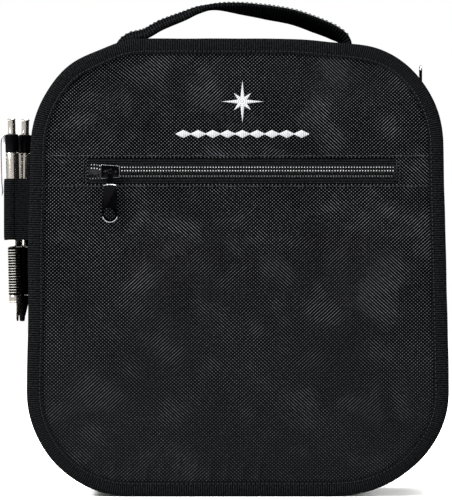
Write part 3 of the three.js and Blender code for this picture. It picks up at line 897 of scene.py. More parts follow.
def ring(profile, count=720, span=None, ease=0.0):
    """A closed profile of (y, inset, share of the swelling) rows carried round the edge.

    span keeps only that distance range, with closed ends; ease shifts the inset a little in slow waves,
    as sewn cloth never runs quite true."""
    profile = np.array(profile, float)
    if span is None:
        along = np.linspace(0, EDGE_LENGTH, count, endpoint=False)
    else:
        along = np.linspace(*span, count)
    x, z, nx, nz = edge_at(along)
    y, inset, share = profile.T
    waves = ease * (np.sin(along / 31) + 0.6 * np.sin(along / 12.7 + 1) + 0.4 * np.sin(along / 5.3))
    inward = inset[None] - share[None] * swelling(z)[:, None] + waves[:, None]
    ring_x, ring_z = x[:, None] - nx[:, None] * inward, z[:, None] - nz[:, None] * inward
    sections = np.stack([ring_x, np.repeat(y[None], count, 0), ring_z], -1)
    steps = np.hypot(np.diff(y, prepend=y[:1]), np.diff(inset, prepend=inset[:1]))
    uv = np.stack(np.broadcast_arrays(along[:, None], np.cumsum(steps)[None]), -1)
    return sweep(sections, uv, closed=span is None)


def same(way, count):
    """One direction, repeated for a row of things."""
    return np.tile(way, (count, 1))


def stitches(points, along, out, long_mm, radius):
    """Short threads, each a flattened drop: six-sided rings that grow and shrink along the stitch.

    points, along and out are the middles, the directions and the outward normals."""
    t = np.array([-0.5, -0.34, 0.0, 0.34, 0.5])
    girth = np.array([0.35, 0.85, 1.0, 0.85, 0.35]) * radius
    lift = np.array([-0.5, 0.25, 0.55, 0.25, -0.5]) * radius
    turn = np.linspace(0, 2 * math.pi, 6, endpoint=False)
    side = np.cross(along, out)
    core = points[:, None] + along[:, None] * (t * long_mm)[None, :, None]
    core = core + out[:, None] * lift[None, :, None]
    round_it = (
        side[:, None, None] * (np.cos(turn)[None, :] * girth[:, None])[None, ..., None]
        + out[:, None, None] * (0.7 * np.sin(turn)[None, :] * girth[:, None])[None, ..., None]
    )
    uv = np.stack(np.broadcast_arrays((t * long_mm)[None, :, None], (turn * radius)[None, None, :]), -1)
    uv = np.broadcast_to(uv, (len(points), 5, 6, 2))
    return many(core[:, :, None] + round_it, uv)


def seam_along_edge(inset, y, out_y, span=None):
    """Stitches round the bound edge at an inset, on a face that looks along out_y."""
    length_mm = EDGE_LENGTH if span is None else span[1] - span[0]
    count = int(length_mm / size("stitch_pitch"))
    along = (np.arange(count) + 0.5) * length_mm / count + (0 if span is None else span[0])
    x, z, nx, nz = edge_at(along)
    points = np.stack([x - nx * inset, np.full(count, y), z - nz * inset], -1)
    direction = np.stack([-nz, np.zeros(count), nx], -1)
    out = same([0.0, out_y, 0.0], count)
    return stitches(points, direction, out, STITCH_SHARE * size("stitch_pitch"), 0.42)


def seam_across(x0, x1, z, face, lift=0.15):
    """A level row of stitches on the front cloth."""
    count = int((x1 - x0) / size("stitch_pitch"))
    x = np.linspace(x0, x1, count)
    points = np.stack([x, face(x, np.full(count, z)) - lift, np.full(count, z)], -1)
    return stitches(
        points,
        same([1.0, 0, 0], count),
        same([0, -1.0, 0], count),
        STITCH_SHARE * size("stitch_pitch"),
        0.4,
    )


def make_front_panels():
    """The upper front panel, the pocket's face and the two cloth ends of its zip."""
    canvas = woven_nylon_canvas()
    left, right = box_of("pocket_zip_end_left")[1][0], box_of("pocket_zip_end_right")[0][0]
    upper = slab((WINDOW_HIGH, HEIGHT - PANEL_INSET), PANEL_INSET, front_face, CLOTH_THICK)
    piece = add_piece("front_panel_upper_cloth", [upper], canvas, "lid", ["front_panel_upper"])
    lower = slab((PANEL_INSET, WINDOW_LOW), PANEL_INSET, front_face, CLOTH_THICK, rows=260)
    piece = add_piece("pocket_face_cloth", [lower], canvas, "lid", ["pocket_face"])
    window = (WINDOW_LOW + 0.2, WINDOW_HIGH - 0.2)
    for name, limits in (("left", (-200, left)), ("right", (right, 200))):
        tab = slab(window, PANEL_INSET, flat_at(PANEL_FRONT), CLOTH_THICK, limits, cols=24, rows=20)
        add_piece(
            f"pocket_zip_end_{name}_cloth", [tab], canvas, "lid", [f"pocket_zip_end_{name}"]
        )


def make_back_panel():
    """The plain back panel with its crown."""
    back = slab((PANEL_INSET, HEIGHT - PANEL_INSET), PANEL_INSET, back_face, -CLOTH_THICK, rows=260)
    piece = add_piece("back_panel_cloth", [back], woven_nylon_canvas(), "shell", ["back_panel"])


def make_padding():
    """The foam behind the front, in the back and round the gusset."""
    foam = padding_foam()
    for name, body in (("front_foam", "lid"), ("back_foam", "shell")):
        low, high = box_of(name)
        pad = slab((12, HEIGHT - 12), 12, flat_at(low[1] + 0.2), high[1] - low[1] - 0.4, cols=60, rows=60)
        add_piece(f"{name}_pad", [pad], foam, body, [name])
    low, high = box_of("rear_gusset_foam")
    band = [(low[1], 10.7, 1), (high[1], 10.7, 1), (high[1], 12.9, 1), (low[1], 12.9, 1)]
    pad = add_piece(
        "gusset_foam_pad", [ring(band, 300)], foam, "shell", ["rear_gusset_foam"], wrap=EDGE_LENGTH
    )


def make_linings():
    """The smooth inner cloth of the lid, the shell and the pocket."""
    lining = nylon_taffeta_lining()
    for name, body, inset in (
        ("pocket_back_wall", "lid", PANEL_INSET),
        ("front_lining", "lid", 12),
        ("back_lining", "shell", 15),
    ):
        low, high = box_of(name)
        face, thick = flat_at(low[1] + 0.1), high[1] - low[1] - 0.2
        sheet = slab((inset, HEIGHT - inset), inset, face, thick, cols=90, rows=90)
        add_piece(f"{name}_cloth", [sheet], lining, body, [name])
    low, high = box_of("rear_gusset_lining")
    rear = [(low[1], 13.4, 1), (high[1], 13.4, 1), (high[1], 14, 1), (low[1], 14, 1)]
    low, high = box_of("lid_gusset_lining")
    front = [(low[1], 11, 0.8), (low[1] + 1.1, 11, 1), (high[1], 11, 1)]
    front += [(y, 11.6, share) for y, _, share in front[::-1]]
    for name, body, band in (("rear_gusset_lining", "shell", rear), ("lid_gusset_lining", "lid", front)):
        add_piece(f"{name}_cloth", [ring(band)], lining, body, [name], wrap=EDGE_LENGTH)


def bound_edge(outer_y, inner_y, outer_reach, inner_reach):
    """The folded tape as a U: a straight leg on each face joined by a half round over the raw edges.

    The middle line is offset by half the tape's thickness to each side; the outer leg is puffed a little
    between the fold and its stitches and dips at the stitches."""
    wall = 0.8
    radius = (abs(inner_y - outer_y) - wall) / 2
    centre_y, way = (outer_y + inner_y) / 2, np.sign(outer_y - inner_y)
    fold = 0.4 + radius
    leg = np.linspace(outer_reach, fold, 9)
    bend = np.linspace(0, math.pi, 11)[1:-1]
    short = np.linspace(fold, inner_reach, 5)
    inset = np.concatenate([leg, fold - radius * np.sin(bend), short])
    y = np.concatenate([np.full(9, radius), radius * np.cos(bend), np.full(5, -radius)]) * way + centre_y
    puff = 0.3 * np.exp(-(((inset - 5.8) / 1.8) ** 2)) - 0.25 * np.exp(-(((inset - 8.5) / 0.5) ** 2))
    tangent = np.stack([np.gradient(inset), np.gradient(y)], -1)
    tangent /= np.linalg.norm(tangent, axis=1, keepdims=True)
    normal = np.stack([tangent[:, 1], -tangent[:, 0]], -1)
    on_front = np.arange(len(inset)) < 9
    y = y + np.where(on_front, puff, 0) * way
    middle = np.stack([inset, y], -1)
    both = np.concatenate([middle + normal * wall / 2, (middle - normal * wall / 2)[::-1]])
    return [(py, pi, 0) for pi, py in both]


def make_bindings():
    """The ribbed tape folded over the front and back seams, and the stitches that hold it."""
    for name, body, outer, inner in (
        ("front_binding", "lid", box_of("front_binding")[0][1], box_of("front_binding")[1][1]),
        ("back_binding", "shell", box_of("back_binding")[1][1], box_of("back_binding")[0][1]),
    ):
        tape = ring(bound_edge(outer, inner, 10, 8.6), 1100, ease=0.12)
        add_piece(
            f"{name}_tape", [tape], grosgrain_binding(), body, [name], wrap=EDGE_LENGTH
        )
        way = np.sign(outer - inner)
        seam = seam_along_edge(8.6, outer + 0.02 * way, way)
        add_seam(f"{name}_stitches", [seam], body)


def gusset_profile(seam_y, bend_y, full_y, edge_y, inset):
    """The gusset cloth from its seam to the zip: the share of the swelling eases from 0 to 1."""
    y = np.concatenate([[seam_y], np.linspace(bend_y, full_y, 9), np.linspace(full_y, edge_y, 8)[1:]])
    share = smooth(np.abs(y - bend_y), 0, abs(full_y - bend_y))
    share[0] = 0
    outer = np.stack([y, np.full(len(y), inset), share], -1)
    inner = outer[::-1] + [0, CLOTH_THICK, 0]
    return np.concatenate([outer, inner])


def make_gussets():
    """The canvas sides: a narrow one on the lid and a deep one on the shell, with a turned zip edge."""
    canvas = woven_nylon_canvas()
    for name, body, profile in (
        ("lid_gusset", "lid", gusset_profile(-36.7, -35.4, -30.5, box_of("lid_gusset")[1][1], SEAM_INSET)),
        ("rear_gusset", "shell", gusset_profile(36.7, 35.4, 26, box_of("rear_gusset")[0][1], SEAM_INSET)),
    ):
        cloth = ring(profile, 900, ease=0.15)
        add_piece(f"{name}_cloth", [cloth], canvas, body, [name], wrap=EDGE_LENGTH)
    for name, body, y in (("lid", "lid", -29.3), ("shell", "shell", -10.6)):
        along = np.linspace(3, ZIP_LENGTH - 3, int(ZIP_LENGTH / size("stitch_pitch")))
        x, z, nx, nz = edge_at(along)
        inward = SEAM_INSET - swelling(z) - 0.1
        points = np.stack([x - nx * inward, np.full(len(x), y), z - nz * inward], -1)
        direction = np.stack([-nz, np.zeros(len(x)), nx], -1)
        seam = stitches(points, direction, np.stack([nx, np.zeros(len(x)), nz], -1), 2.2, 0.4)
        add_seam(f"gusset_stitches_{name}", [seam], body)


# ---- Zips ----

TAPE_INSET = 9.8
TOOTH_WIDTH = 1.15
BRIDGE_HEIGHT = 4.9
PLATE_BASE = 1.45
# A bevelled block is ten rings; the two in the middle of its upper bevel get a painted highlight of bright
# nickel.
BLOCK_RINGS = 10
HIGHLIGHT_RINGS = (6, 7)
# Each pull's length, neck, width at the top and width at the end.
POCKET_PULL = (33.2, 8.6, 8.4, 10.4)
MAIN_PULL = (19.5, 2.5, 6.4, 8)


def teeth_row(points, along, inward, out, long_mm, wide_mm, thick_mm, highlight_scale=1.0):
    """Stamped teeth: each is a stack of eight-sided sections from the tape to the rounded head.

    points are the outer ends at the tape, inward the way to the zip's centre, and out its face. The last
    argument shrinks the cloth map along the tooth, so that less of the painted highlight on its head shows."""
    t = np.array([0.0, 0.08, 0.45, 0.62, 0.8, 1.0])
    wide = np.array([0.7, 1.0, 0.8, 0.65, 1.0, 0.7]) * wide_mm / 2
    thick = np.array([0.6, 1.0, 0.7, 0.55, 0.9, 0.5]) * thick_mm / 2
    corner_u = np.array([1, 0.55, -0.55, -1, -1, -0.55, 0.55, 1.0])
    corner_v = np.array([0.55, 1, 1, 0.55, -0.55, -1, -1, -0.55])
    core = points[:, None] + inward[:, None] * (t * long_mm)[None, :, None]
    shape = (
        along[:, None, None] * (wide[:, None] * corner_u)[None, ..., None]
        + out[:, None, None] * (thick[:, None] * corner_v)[None, ..., None]
    )
    uv = np.zeros((*core.shape[:2], 8, 2))
    uv[..., 1] = (highlight_scale * t * long_mm)[None, :, None]
    return many(core[:, :, None] + shape, uv)


def make_pocket_zip():
    """The pocket zip: two tapes, and two rows of dark teeth that meet in the middle, with painted
    highlights at their ends.
    """
    tape_finish, nickel = polyester_zip_tape(), blackened_nickel_teeth()
    for name, side in (("upper", 1), ("lower", -1)):
        low, high = box_of(f"pocket_zip_tape_{name}")
        x = np.linspace(low[0], high[0], 160)
        z = np.linspace(low[2] - 0.2, high[2] + 0.2, 8)
        gx, gz = np.meshgrid(x, z, indexing="ij")
        y = low[1] + 0.12 * np.sin(gx / 15 + gz / 3)
        face = np.stack([gx, y, gz], -1)
        sections = np.concatenate([face, np.stack([gx, y + 0.6, gz], -1)[:, ::-1]], 1)
        uv = np.stack([gx, gz], -1)
        tape = sweep(sections, np.concatenate([uv, uv[:, ::-1]], 1))
        add_piece(
            f"pocket_tape_{name}",
            [tape],
            tape_finish,
            "lid",
            [f"pocket_zip_tape_{name}"],
            soft=False,
        )
        low, high = box_of(f"pocket_zip_teeth_{name}")
        pitch = size("tooth_pitch")
        x = np.arange(low[0] + 1, high[0] - 0.6, pitch) + (pitch / 2 if side > 0 else 0)
        # Left of the slider the rows are parted.
        outer = (high[2] if side > 0 else low[2]) + side * 1.6 * smooth(-x, 86, 93)
        n = len(x)
        points = np.stack([x, np.full(n, (low[1] + high[1]) / 2), outer], -1)
        # Painted highlight: the lower row's cloth map is shortened, so that less of the painted highlight
        # shows at its heads.
        teeth = teeth_row(
            points,
            same([1.0, 0, 0], n),
            same([0, 0, -1.0 * side], n),
            same([0, -1.0, 0], n),
            high[2] - low[2] + 0.55,
            TOOTH_WIDTH,
            high[1] - low[1],
            highlight_scale=1.0 if side > 0 else 0.72,
        )
        add_piece(
            f"pocket_teeth_{name}",
            [teeth],
            nickel,
            "lid",
            [f"pocket_zip_teeth_{name}"],
            soft=False,
            crease=30,
        )
    left, right = box_of("pocket_zip_end_left")[1][0], box_of("pocket_zip_end_right")[0][0]
    rows = [
        seam_across(-124, 124, WINDOW_HIGH + 1.5, front_face),
        seam_across(-125, 125, WINDOW_LOW - 1.4, front_face),
    ]
    # Painted highlight: the hem stitches use the lightened thread along the pocket's folded edges.
    add_seam("pocket_zip_stitches", rows, "lid", soft=False, finish=lightened_hem_topstitching())
    bars = []
    for x in (left - 1.2, left - 3.0, right + 1.2, right + 3.0):
        z = np.arange(WINDOW_LOW + 2, WINDOW_HIGH - 1, 2.0)
        n = len(z)
        points = np.stack([np.full(n, x), np.full(n, PANEL_FRONT - 0.3), z], -1)
        bars.append(stitches(points, same([0, 0, 1.0], n), same([0, -1.0, 0], n), 1.7, 0.42))
    add_seam("pocket_zip_bar_tacks", bars, "lid", soft=False)


def make_main_zip():
    """The long zip round the bag: tapes and teeth on each half."""
    tape_finish, nickel = polyester_zip_tape(), blackened_nickel_teeth()
    for owner, side in (("lid", -1), ("shell", 1)):
        low, high = box_of(f"main_zip_tape_{owner}")
        y0, y1 = low[1] - 0.2, high[1] + 0.2
        inner = TAPE_INSET + 0.8
        profile = [(y, TAPE_INSET, 1) for y in np.linspace(y0, y1, 5)]
        profile += [(y, inner, 1) for y in np.linspace(y1, y0, 5)]
        tape = ring(profile, 500, span=(0.2, ZIP_LENGTH - 0.2))
        add_piece(f"main_tape_{owner}", [tape], tape_finish, owner, [f"main_zip_tape_{owner}"])
        low, high = box_of(f"main_zip_teeth_{owner}")
        pitch = size("tooth_pitch")
        along = np.arange(2.5, ZIP_LENGTH - 2.5, pitch) + (pitch / 2 if side > 0 else 0)
        x, z, nx, nz = edge_at(along)
        inward = 10.2 - swelling(z)
        n = len(along)
        outer_y = low[1] if side < 0 else high[1]
        points = np.stack([x - nx * inward, np.full(n, outer_y), z - nz * inward], -1)
        teeth = teeth_row(
            points,
            np.stack([-nz, np.zeros(n), nx], -1),
            same([0, -1.0 * side, 0], n),
            np.stack([nx, np.zeros(n), nz], -1),
            high[1] - low[1] + 0.5,
            TOOTH_WIDTH,
            1.8,
        )
        add_piece(
            f"main_teeth_{owner}", [teeth], nickel, owner, [f"main_zip_teeth_{owner}"], crease=30
        )


def rounded_block(low, high, bevel, per_side=5, crown=0.0):
    """A block with rounded corners and edges: rings of a rounded rectangle that shrink at both ends."""
    (x0, y0, z0), (x1, y1, z1) = low, high
    cx, cy = (x0 + x1) / 2, (y0 + y1) / 2
    hx, hy = (x1 - x0) / 2, (y1 - y0) / 2
    quarter = np.linspace(0, math.pi / 2, per_side)
    turn = np.concatenate([quarter + k * math.pi / 2 for k in range(4)])
    corner_x = np.repeat([1, -1, -1, 1], per_side)
    corner_y = np.repeat([1, 1, -1, -1], per_side)
    lift = np.linspace(0, math.pi / 2, 4)
    rings = [(z0 + bevel * (1 - math.sin(a)), bevel * (1 - math.cos(a))) for a in lift[::-1]]
    rings += [(z1 - bevel * (1 - math.sin(a)), bevel * (1 - math.cos(a))) for a in lift]
    rings = [(z0, min(hx, hy) * 0.9)] + rings + [(z1 + crown, min(hx, hy) * 0.9)]
    sections = []
    for z, shrink in rings:
        radius = max(bevel * 1.5 - shrink, 0.05)
        px = cx + corner_x * (hx - shrink - radius) + radius * np.cos(turn)
        py = cy + corner_y * (hy - shrink - radius) + radius * np.sin(turn)
        sections.append(np.stack([px, py, np.full(len(px), z)], -1))
    return sweep(np.array(sections), np.array(sections)[..., :2])


def tube(path, radius, sides=12, squash=1.0):
    """A round bar along a path of points; radius may change along it.

    Each ring is square to the path's direction, with its first axis kept near +Y or +Z."""
    path = np.asarray(path, float)
    tangent = np.gradient(path, axis=0)
    tangent /= np.linalg.norm(tangent, axis=1, keepdims=True)
    guide = np.array([0, 1.0, 0]) if abs(tangent[:, 1]).max() < 0.9 else np.array([0, 0, 1.0])
    first = np.cross(tangent, guide)
    first /= np.linalg.norm(first, axis=1, keepdims=True)
    second = np.cross(first, tangent)
    turn = np.linspace(0, 2 * math.pi, sides, endpoint=False)
    radius = np.broadcast_to(radius, len(path))
    offset = first[:, None] * np.cos(turn)[None, :, None]
    offset = offset + squash * second[:, None] * np.sin(turn)[None, :, None]
    return sweep(path[:, None] + offset * radius[:, None, None], np.zeros((len(path), sides, 2)))


def lathe(heights, radii, sides=40):
    """A turned shape about the local z axis; the radius follows the heights."""
    turn = np.linspace(0, 2 * math.pi, sides, endpoint=False)
    heights, radii = np.asarray(heights, float), np.asarray(radii, float)
    ring_xy = np.stack([np.cos(turn), np.sin(turn)], -1)
    flat = radii[:, None, None] * ring_xy[None]
    sections = np.concatenate([flat, np.repeat(heights[:, None, None], sides, 1)], -1)
    uv = np.stack(np.broadcast_arrays(turn[None] * 4.0, heights[:, None]), -1)
    return sweep(sections, uv)


def placed(part, origin, axes):
    """A part made in local axes, moved to the bag: origin plus x, y and z along the three axes."""
    points, quads, uv = part
    return np.asarray(origin) + points @ np.asarray(axes, float), quads, uv


def slider_parts(outer, inner):
    """A cast slider: a crowned plate over the teeth, one under them and the wedge between.

    Local x is along the zip, y across it and z outwards."""
    top = rounded_block((-6.25, -4.5, outer), (6.25, 4.5, outer + 1.2), 0.5, crown=0.25)
    under = rounded_block((-6.25, -4.5, -inner - 0.84), (6.25, 4.5, -inner), 0.3)
    wedge = rounded_block((-2, -0.5, -inner - 0.2), (2, 0.5, outer + 0.2), 0.2)
    for points in (top[0], under[0]):
        points[:, 1] *= 1 - 0.14 * smooth(points[:, 0], -3, 6.25) + 0.05 * smooth(-points[:, 0], 2, 6.25)
    # Painted highlight: bright nickel along the middle of the top plate's upper bevel, at the slider's two
    # ends.
    level = np.arange(len(top[0])) * BLOCK_RINGS // len(top[0])
    rim = np.isin(level, HIGHLIGHT_RINGS) * smooth(np.abs(top[0][:, 0]), 3, 5)
    without_highlight = [(points, quads, 0 * uv) for points, quads, uv in (under, wedge)]
    return (top[0], top[1], np.stack([0 * rim, 0.45 * rim], -1)), *without_highlight


def bridge_part(crosswise, outer):
    """The slider's bridge: a flat bar that rises at both ends and runs level under the pull."""
    t = np.linspace(-1, 1, 21)
    along = 3.0 * np.sign(t) * np.abs(t) ** 0.55 * 1.12
    rise = outer + 1.0 + (BRIDGE_HEIGHT - outer - 1.0) * (1 - np.abs(t) ** 5)
    path = np.stack([along, np.zeros(21), rise], -1)
    radius = 0.68 + 0.35 * np.abs(t) ** 6
    points, quads, _ = tube(path, radius, 10)
    # Painted highlight: bright nickel on the bridge towards both of its ends.
    painted_highlight = np.repeat(0.7 * smooth(np.abs(t), 0.55, 0.8), 10)
    if crosswise:
        points = points[:, [1, 0, 2]]
    return points, quads, np.stack([0 * painted_highlight, painted_highlight], -1)


def loop_polar(outline, centre, count):
    """An outline seen from a point inside it, as points at equal angles."""
    dx, dy = (outline - centre).T
    angle = np.unwrap(np.arctan2(dy, dx))
    if angle[-1] < angle[0]:
        angle, dx, dy = angle[::-1], dx[::-1], dy[::-1]
    reach = np.hypot(dx, dy)
    want = angle[0] + np.linspace(0, 2 * math.pi, count, endpoint=False)
    r = np.interp(want, np.append(angle, angle[0] + 2 * math.pi), np.append(reach, reach[0]))
    return centre + np.stack([r * np.cos(want), r * np.sin(want)], -1)


def pull_parts(long_mm, neck_mm, top_width, end_width, thick=1.6, rim=1.35):
    """A flat pull that hangs along -y from its eye: a neck, a blade with a rounded end and a D slot in it.

    The blade is a closed ring between the slot and the outline: flat in the middle, raised and rounded at
    both rims. The eye is a short tube about the x axis."""
    end_y = -long_mm + end_width / 2
    top_y = -neck_mm
    arc = np.linspace(math.pi, 2 * math.pi, 40)
    down = np.linspace(0, 1, 30)[:-1]
    left = np.stack([-(top_width + (end_width - top_width) * down) / 2, top_y + (end_y - top_y) * down], -1)
    bow = np.stack([end_width / 2 * np.cos(arc), end_y + end_width / 2 * np.sin(arc)], -1)
    right = left[::-1] * [-1, 1]
    top_x = np.linspace(top_width / 2, -top_width / 2, 20)[1:-1]
    top = np.stack([top_x, top_y + 0.6 * (1 - (2 * top_x / top_width) ** 2)], -1)
    outline = np.concatenate([left, bow, right, top])
    half = end_width / 2 - rim
    slot = np.concatenate(
        [
            np.stack([half * np.cos(arc), end_y + half * np.sin(arc)], -1),
            np.stack([np.full(6, half), np.linspace(end_y, end_y + half, 7)[1:]], -1),
            np.stack([np.linspace(half, -half, 14)[1:], np.full(13, end_y + half)], -1),
            np.stack([np.full(5, -half), np.linspace(end_y + half, end_y, 7)[1:-1]], -1),
        ]
    )
    centre = np.array([0, end_y])
    count = 120
    outer, inner = loop_polar(outline, centre, count), loop_polar(slot, centre, count)
    out_way = outer - centre
    out_way /= np.linalg.norm(out_way, axis=1, keepdims=True)
    h = thick / 2
    # Rim profile: on the outline or the slot, how far in from it, and the share of the half thickness.
    steps = [
        (1, 0, 0.4), (1, 0.2, 0.8), (1, 0.45, 1.0), (1, 0.7, 0.9),
        (0, -0.55, 0.9), (0, -0.4, 1.0), (0, -0.15, 0.8), (0, 0, 0.4),
    ]
    rows, painted_highlight = [], []
    # Painted highlights: bright nickel along the lower arc of the outline and along its top edge, and
    # faintly on the slot's lip near the top.
    low_arc = smooth(-out_way[:, 1], 0.1, 0.45)
    high_edge = smooth(out_way[:, 1], 0.955, 0.985)
    for sign in (1, -1):
        for on_outer, shift, level in steps if sign > 0 else steps[::-1]:
            base = outer if on_outer else inner
            rows.append(np.concatenate([base - shift * out_way, np.full((count, 1), sign * level * h)], 1))
            edge = on_outer and shift < 0.5
            lip = not on_outer and shift > -0.5
            painted_highlight.append(edge * (low_arc + high_edge) + 0.5 * lip * high_edge)
    highlight_map = np.stack([np.zeros((count, len(rows))), np.clip(np.stack(painted_highlight, 1), 0, 1)], -1)
    blade = sweep(np.stack(rows, 1), highlight_map, closed=True)
    turn = np.linspace(0, 2 * math.pi, 28, endpoint=False)
    eye_profile = [
        (-1.7, 1.1), (-1.5, 1.05), (1.5, 1.05), (1.7, 1.1), (1.7, 1.7), (1.4, 1.9), (-1.4, 1.9), (-1.7, 1.7)
    ]
    eye_sections = [
        np.stack([np.full(28, x), r * np.cos(turn), r * np.sin(turn)], -1) for x, r in eye_profile
    ]
    eye = sweep(np.stack(eye_sections, 1), closed=True)
    points, quads, uv = rounded_block((-1.7, top_y - 0.8, -h * 0.8), (1.7, -1.5, h * 0.8), 0.3)
    return [blade, eye, (points, quads, 0 * uv)]


def make_sliders():
    """The pocket's slider and the two on the main zip, each with its pull."""
    metal = black_nickel_plate()
    low, high = box_of("pocket_slider")
    centre = np.array([(low[0] + high[0]) / 2, -40.6, (low[2] + high[2]) / 2])
    axes = [[1, 0, 0], [0, 0, 1], [0, -1, 0]]
    make_one_slider("pocket", centre, axes, axes, 1.1, False, POCKET_PULL, metal)
    top_x, top_z = HALF_WIDTH_TOP - TOP_RADIUS, HEIGHT - TOP_RADIUS
    for letter, degrees, rise_degrees in (("a", 31.2, 58.8), ("b", 44.4, 90.0)):
        angle = math.radians(degrees)
        out = np.array([math.cos(angle), 0, math.sin(angle)])
        along = np.array([-math.sin(angle), 0, math.cos(angle)])
        centre = np.array([top_x, ZIP_Y, top_z]) + 60.8 * out
        rise = math.radians(90 - rise_degrees)
        blade = along * math.cos(rise) + out * math.sin(rise)
        face = np.cross([0, -1.0, 0], -blade)
        pull_axes = [[0, -1.0, 0], -blade, face]
        make_one_slider(
            f"main_{letter}", centre, [along, [0, -1, 0], out], pull_axes, 1.85, True, MAIN_PULL, metal
        )


def make_one_slider(name, centre, axes, pull_axes, inner, crosswise, pull_size, metal):
    """One slider and its pull; the pull's eye sits on the slider's bridge."""
    parts = [
        placed(p, centre, axes)
        for p in (*slider_parts(PLATE_BASE, inner), bridge_part(crosswise, PLATE_BASE))
    ]
    zip_name, _, letter = name.partition("_")
    slider, pull = ("_".join(filter(None, (zip_name, kind, letter))) for kind in ("slider", "pull"))
    add_piece(f"{name}_zip_slider", parts, metal, slider, [slider], soft=False, crease=35)
    bar = np.asarray(centre) + BRIDGE_HEIGHT * np.asarray(axes[2], float)
    parts = [placed(p, bar, pull_axes) for p in pull_parts(*pull_size)]
    add_piece(f"{name}_zip_pull", parts, metal, pull, [pull], soft=False, crease=35)


def make_stops_and_spine():
    """The cloth spine under the bag, which the lid turns on, and the two end stops of the zip."""
    low = box_of("spine_lid_half")[0]
    high = box_of("spine_shell_half")[1]
    x = np.linspace(low[0], high[0], 60)
    y = np.linspace(low[1] - 0.2, high[1] + 0.2, 40)
    gx, gy = np.meshgrid(x, y, indexing="ij")
    groove = 0.25 * np.exp(-(((gy - ZIP_Y) / 1.5) ** 2))
    under = np.stack([gx, gy, 0.02 + groove], -1)
    above = np.stack([gx, gy, 1.15 - 0.4 * groove], -1)[:, ::-1]
    uv = np.stack([gx, gy], -1)
    cloth = sweep(np.concatenate([under, above], 1), np.concatenate([uv, uv[:, ::-1]], 1))
    spine = add_piece(
        "spine_cloth", [cloth], woven_nylon_canvas(), None, ["spine_lid_half", "spine_shell_half"]
    )
    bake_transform(spine)
    for side in ("left", "right"):
        low, high = box_of(f"main_zip_stop_{side}")
        stop = rounded_block(low, high, 0.35)
        add_piece(
            f"zip_stop_{side}",
            [stop],
            blackened_nickel_teeth(),
            "shell",
            [f"main_zip_stop_{side}"],
            soft=False,
        )


# ---- Handle ----

HANDLE_POINTS = [
    (-80.5, 288.0),
    (-80, 294),
    (-77.5, 299),
    (-71, 302.6),
    (-61.4, 305),
    (-51, 310.7),
    (-36.4, 316.5),
    (-25.5, 321),
    (-14, 323),
    (2.3, 321.7),
    (20.7, 319),
    (37.2, 315.9),
    (51.6, 310.9),
    (63.9, 305.8),
    (72, 300),
    (75, 288.6),
]
# Roll of the strap about its own length, in degrees: positive tips its outer face to the front.
HANDLE_ROLL = [0, 0, 8, 14, 14, 14, 12, 8, 2, -9, -15, -16, -17, -15, -8, 0]
HANDLE_THICK = 4.3
HANDLE_HALF_WIDTH = 12.3


def smooth_path(points, count):
    """A Catmull-Rom curve through points, at equal distances along it, as x, z and its parameter."""
    points = np.array(points, float)
    padded = np.concatenate([[2 * points[0] - points[1]], points, [2 * points[-1] - points[-2]]])
    t = np.linspace(0, len(points) - 1 - 1e-6, 60 * len(points))
    i = t.astype(int)
    f = (t - i)[:, None]
    a, b, c, d = (padded[i + k] for k in range(4))
    square, cube = (2 * a - 5 * b + 4 * c - d) * f**2, (3 * b - a - 3 * c + d) * f**3
    dense = 0.5 * (2 * b + (c - a) * f + square + cube)
    along = np.concatenate([[0], np.cumsum(np.linalg.norm(np.diff(dense, axis=0), axis=1))])
    want = np.linspace(0, along[-1], count)
    made = np.stack([np.interp(want, along, dense[:, k]) for k in range(dense.shape[1])], -1)
    return made, np.interp(want, along, t), want


def strap(points, roll_degrees, y, half, thick, count=260):
    """A strap along a path in the XZ plane: a rounded flat section that rolls about the path.

    The section is a flat oval with 20 points; ribs across the strap are left to its finish."""
    path, t, along = smooth_path(points, count)
    roll = np.radians(np.interp(t, np.arange(len(roll_degrees)), roll_degrees))
    tangent = np.gradient(path, axis=0)
    tangent /= np.linalg.norm(tangent, axis=1, keepdims=True)
    normal = np.stack([-tangent[:, 1], np.zeros(count), tangent[:, 0]], -1)
    across = same([0, 1.0, 0], count)
    cos, sin = np.cos(roll)[:, None], np.sin(roll)[:, None]
    wide_axis = across * cos + normal * sin
    thick_axis = normal * cos - across * sin
    u = np.concatenate([np.linspace(1, -1, 11), np.linspace(-1, 1, 11)])
    v = np.concatenate([np.full(11, 1.0), np.full(11, -1.0)])
    v = v * np.sqrt(np.clip(1 - np.abs(u) ** 6, 0.1, 1))
    centre = np.stack([path[:, 0], np.full(count, y), path[:, 1]], -1)
    sections = (
        centre[:, None]
        + wide_axis[:, None] * (half * u)[None, :, None]
        + thick_axis[:, None] * (v * thick / 2)[None, :, None]
    )
    uv = np.stack(np.broadcast_arrays(along[:, None], half * u[None]), -1)
    return sweep(sections, uv), (centre, tangent, wide_axis, thick_axis, along)


PATCH_INSET, PATCH_THICK = SEAM_INSET - 1.9, 1.6


def patch_stitches(along, y, lengthwise):
    """Stitches on a handle patch: they follow the curved gusset, along the bag's edge or across it."""
    along, y = np.broadcast_arrays(along, y)
    x, z, nx, nz = edge_at(along)
    inward = PATCH_INSET - swelling(z) - 0.02
    points = np.stack([x - nx * inward, y, z - nz * inward], -1)
    zero = np.zeros(len(x))
    direction = np.stack([-nz, zero, nx] if lengthwise else [zero, zero + 1, zero], -1)
    return stitches(points, direction, np.stack([nx, zero, nz], -1), 2.1, 0.4)


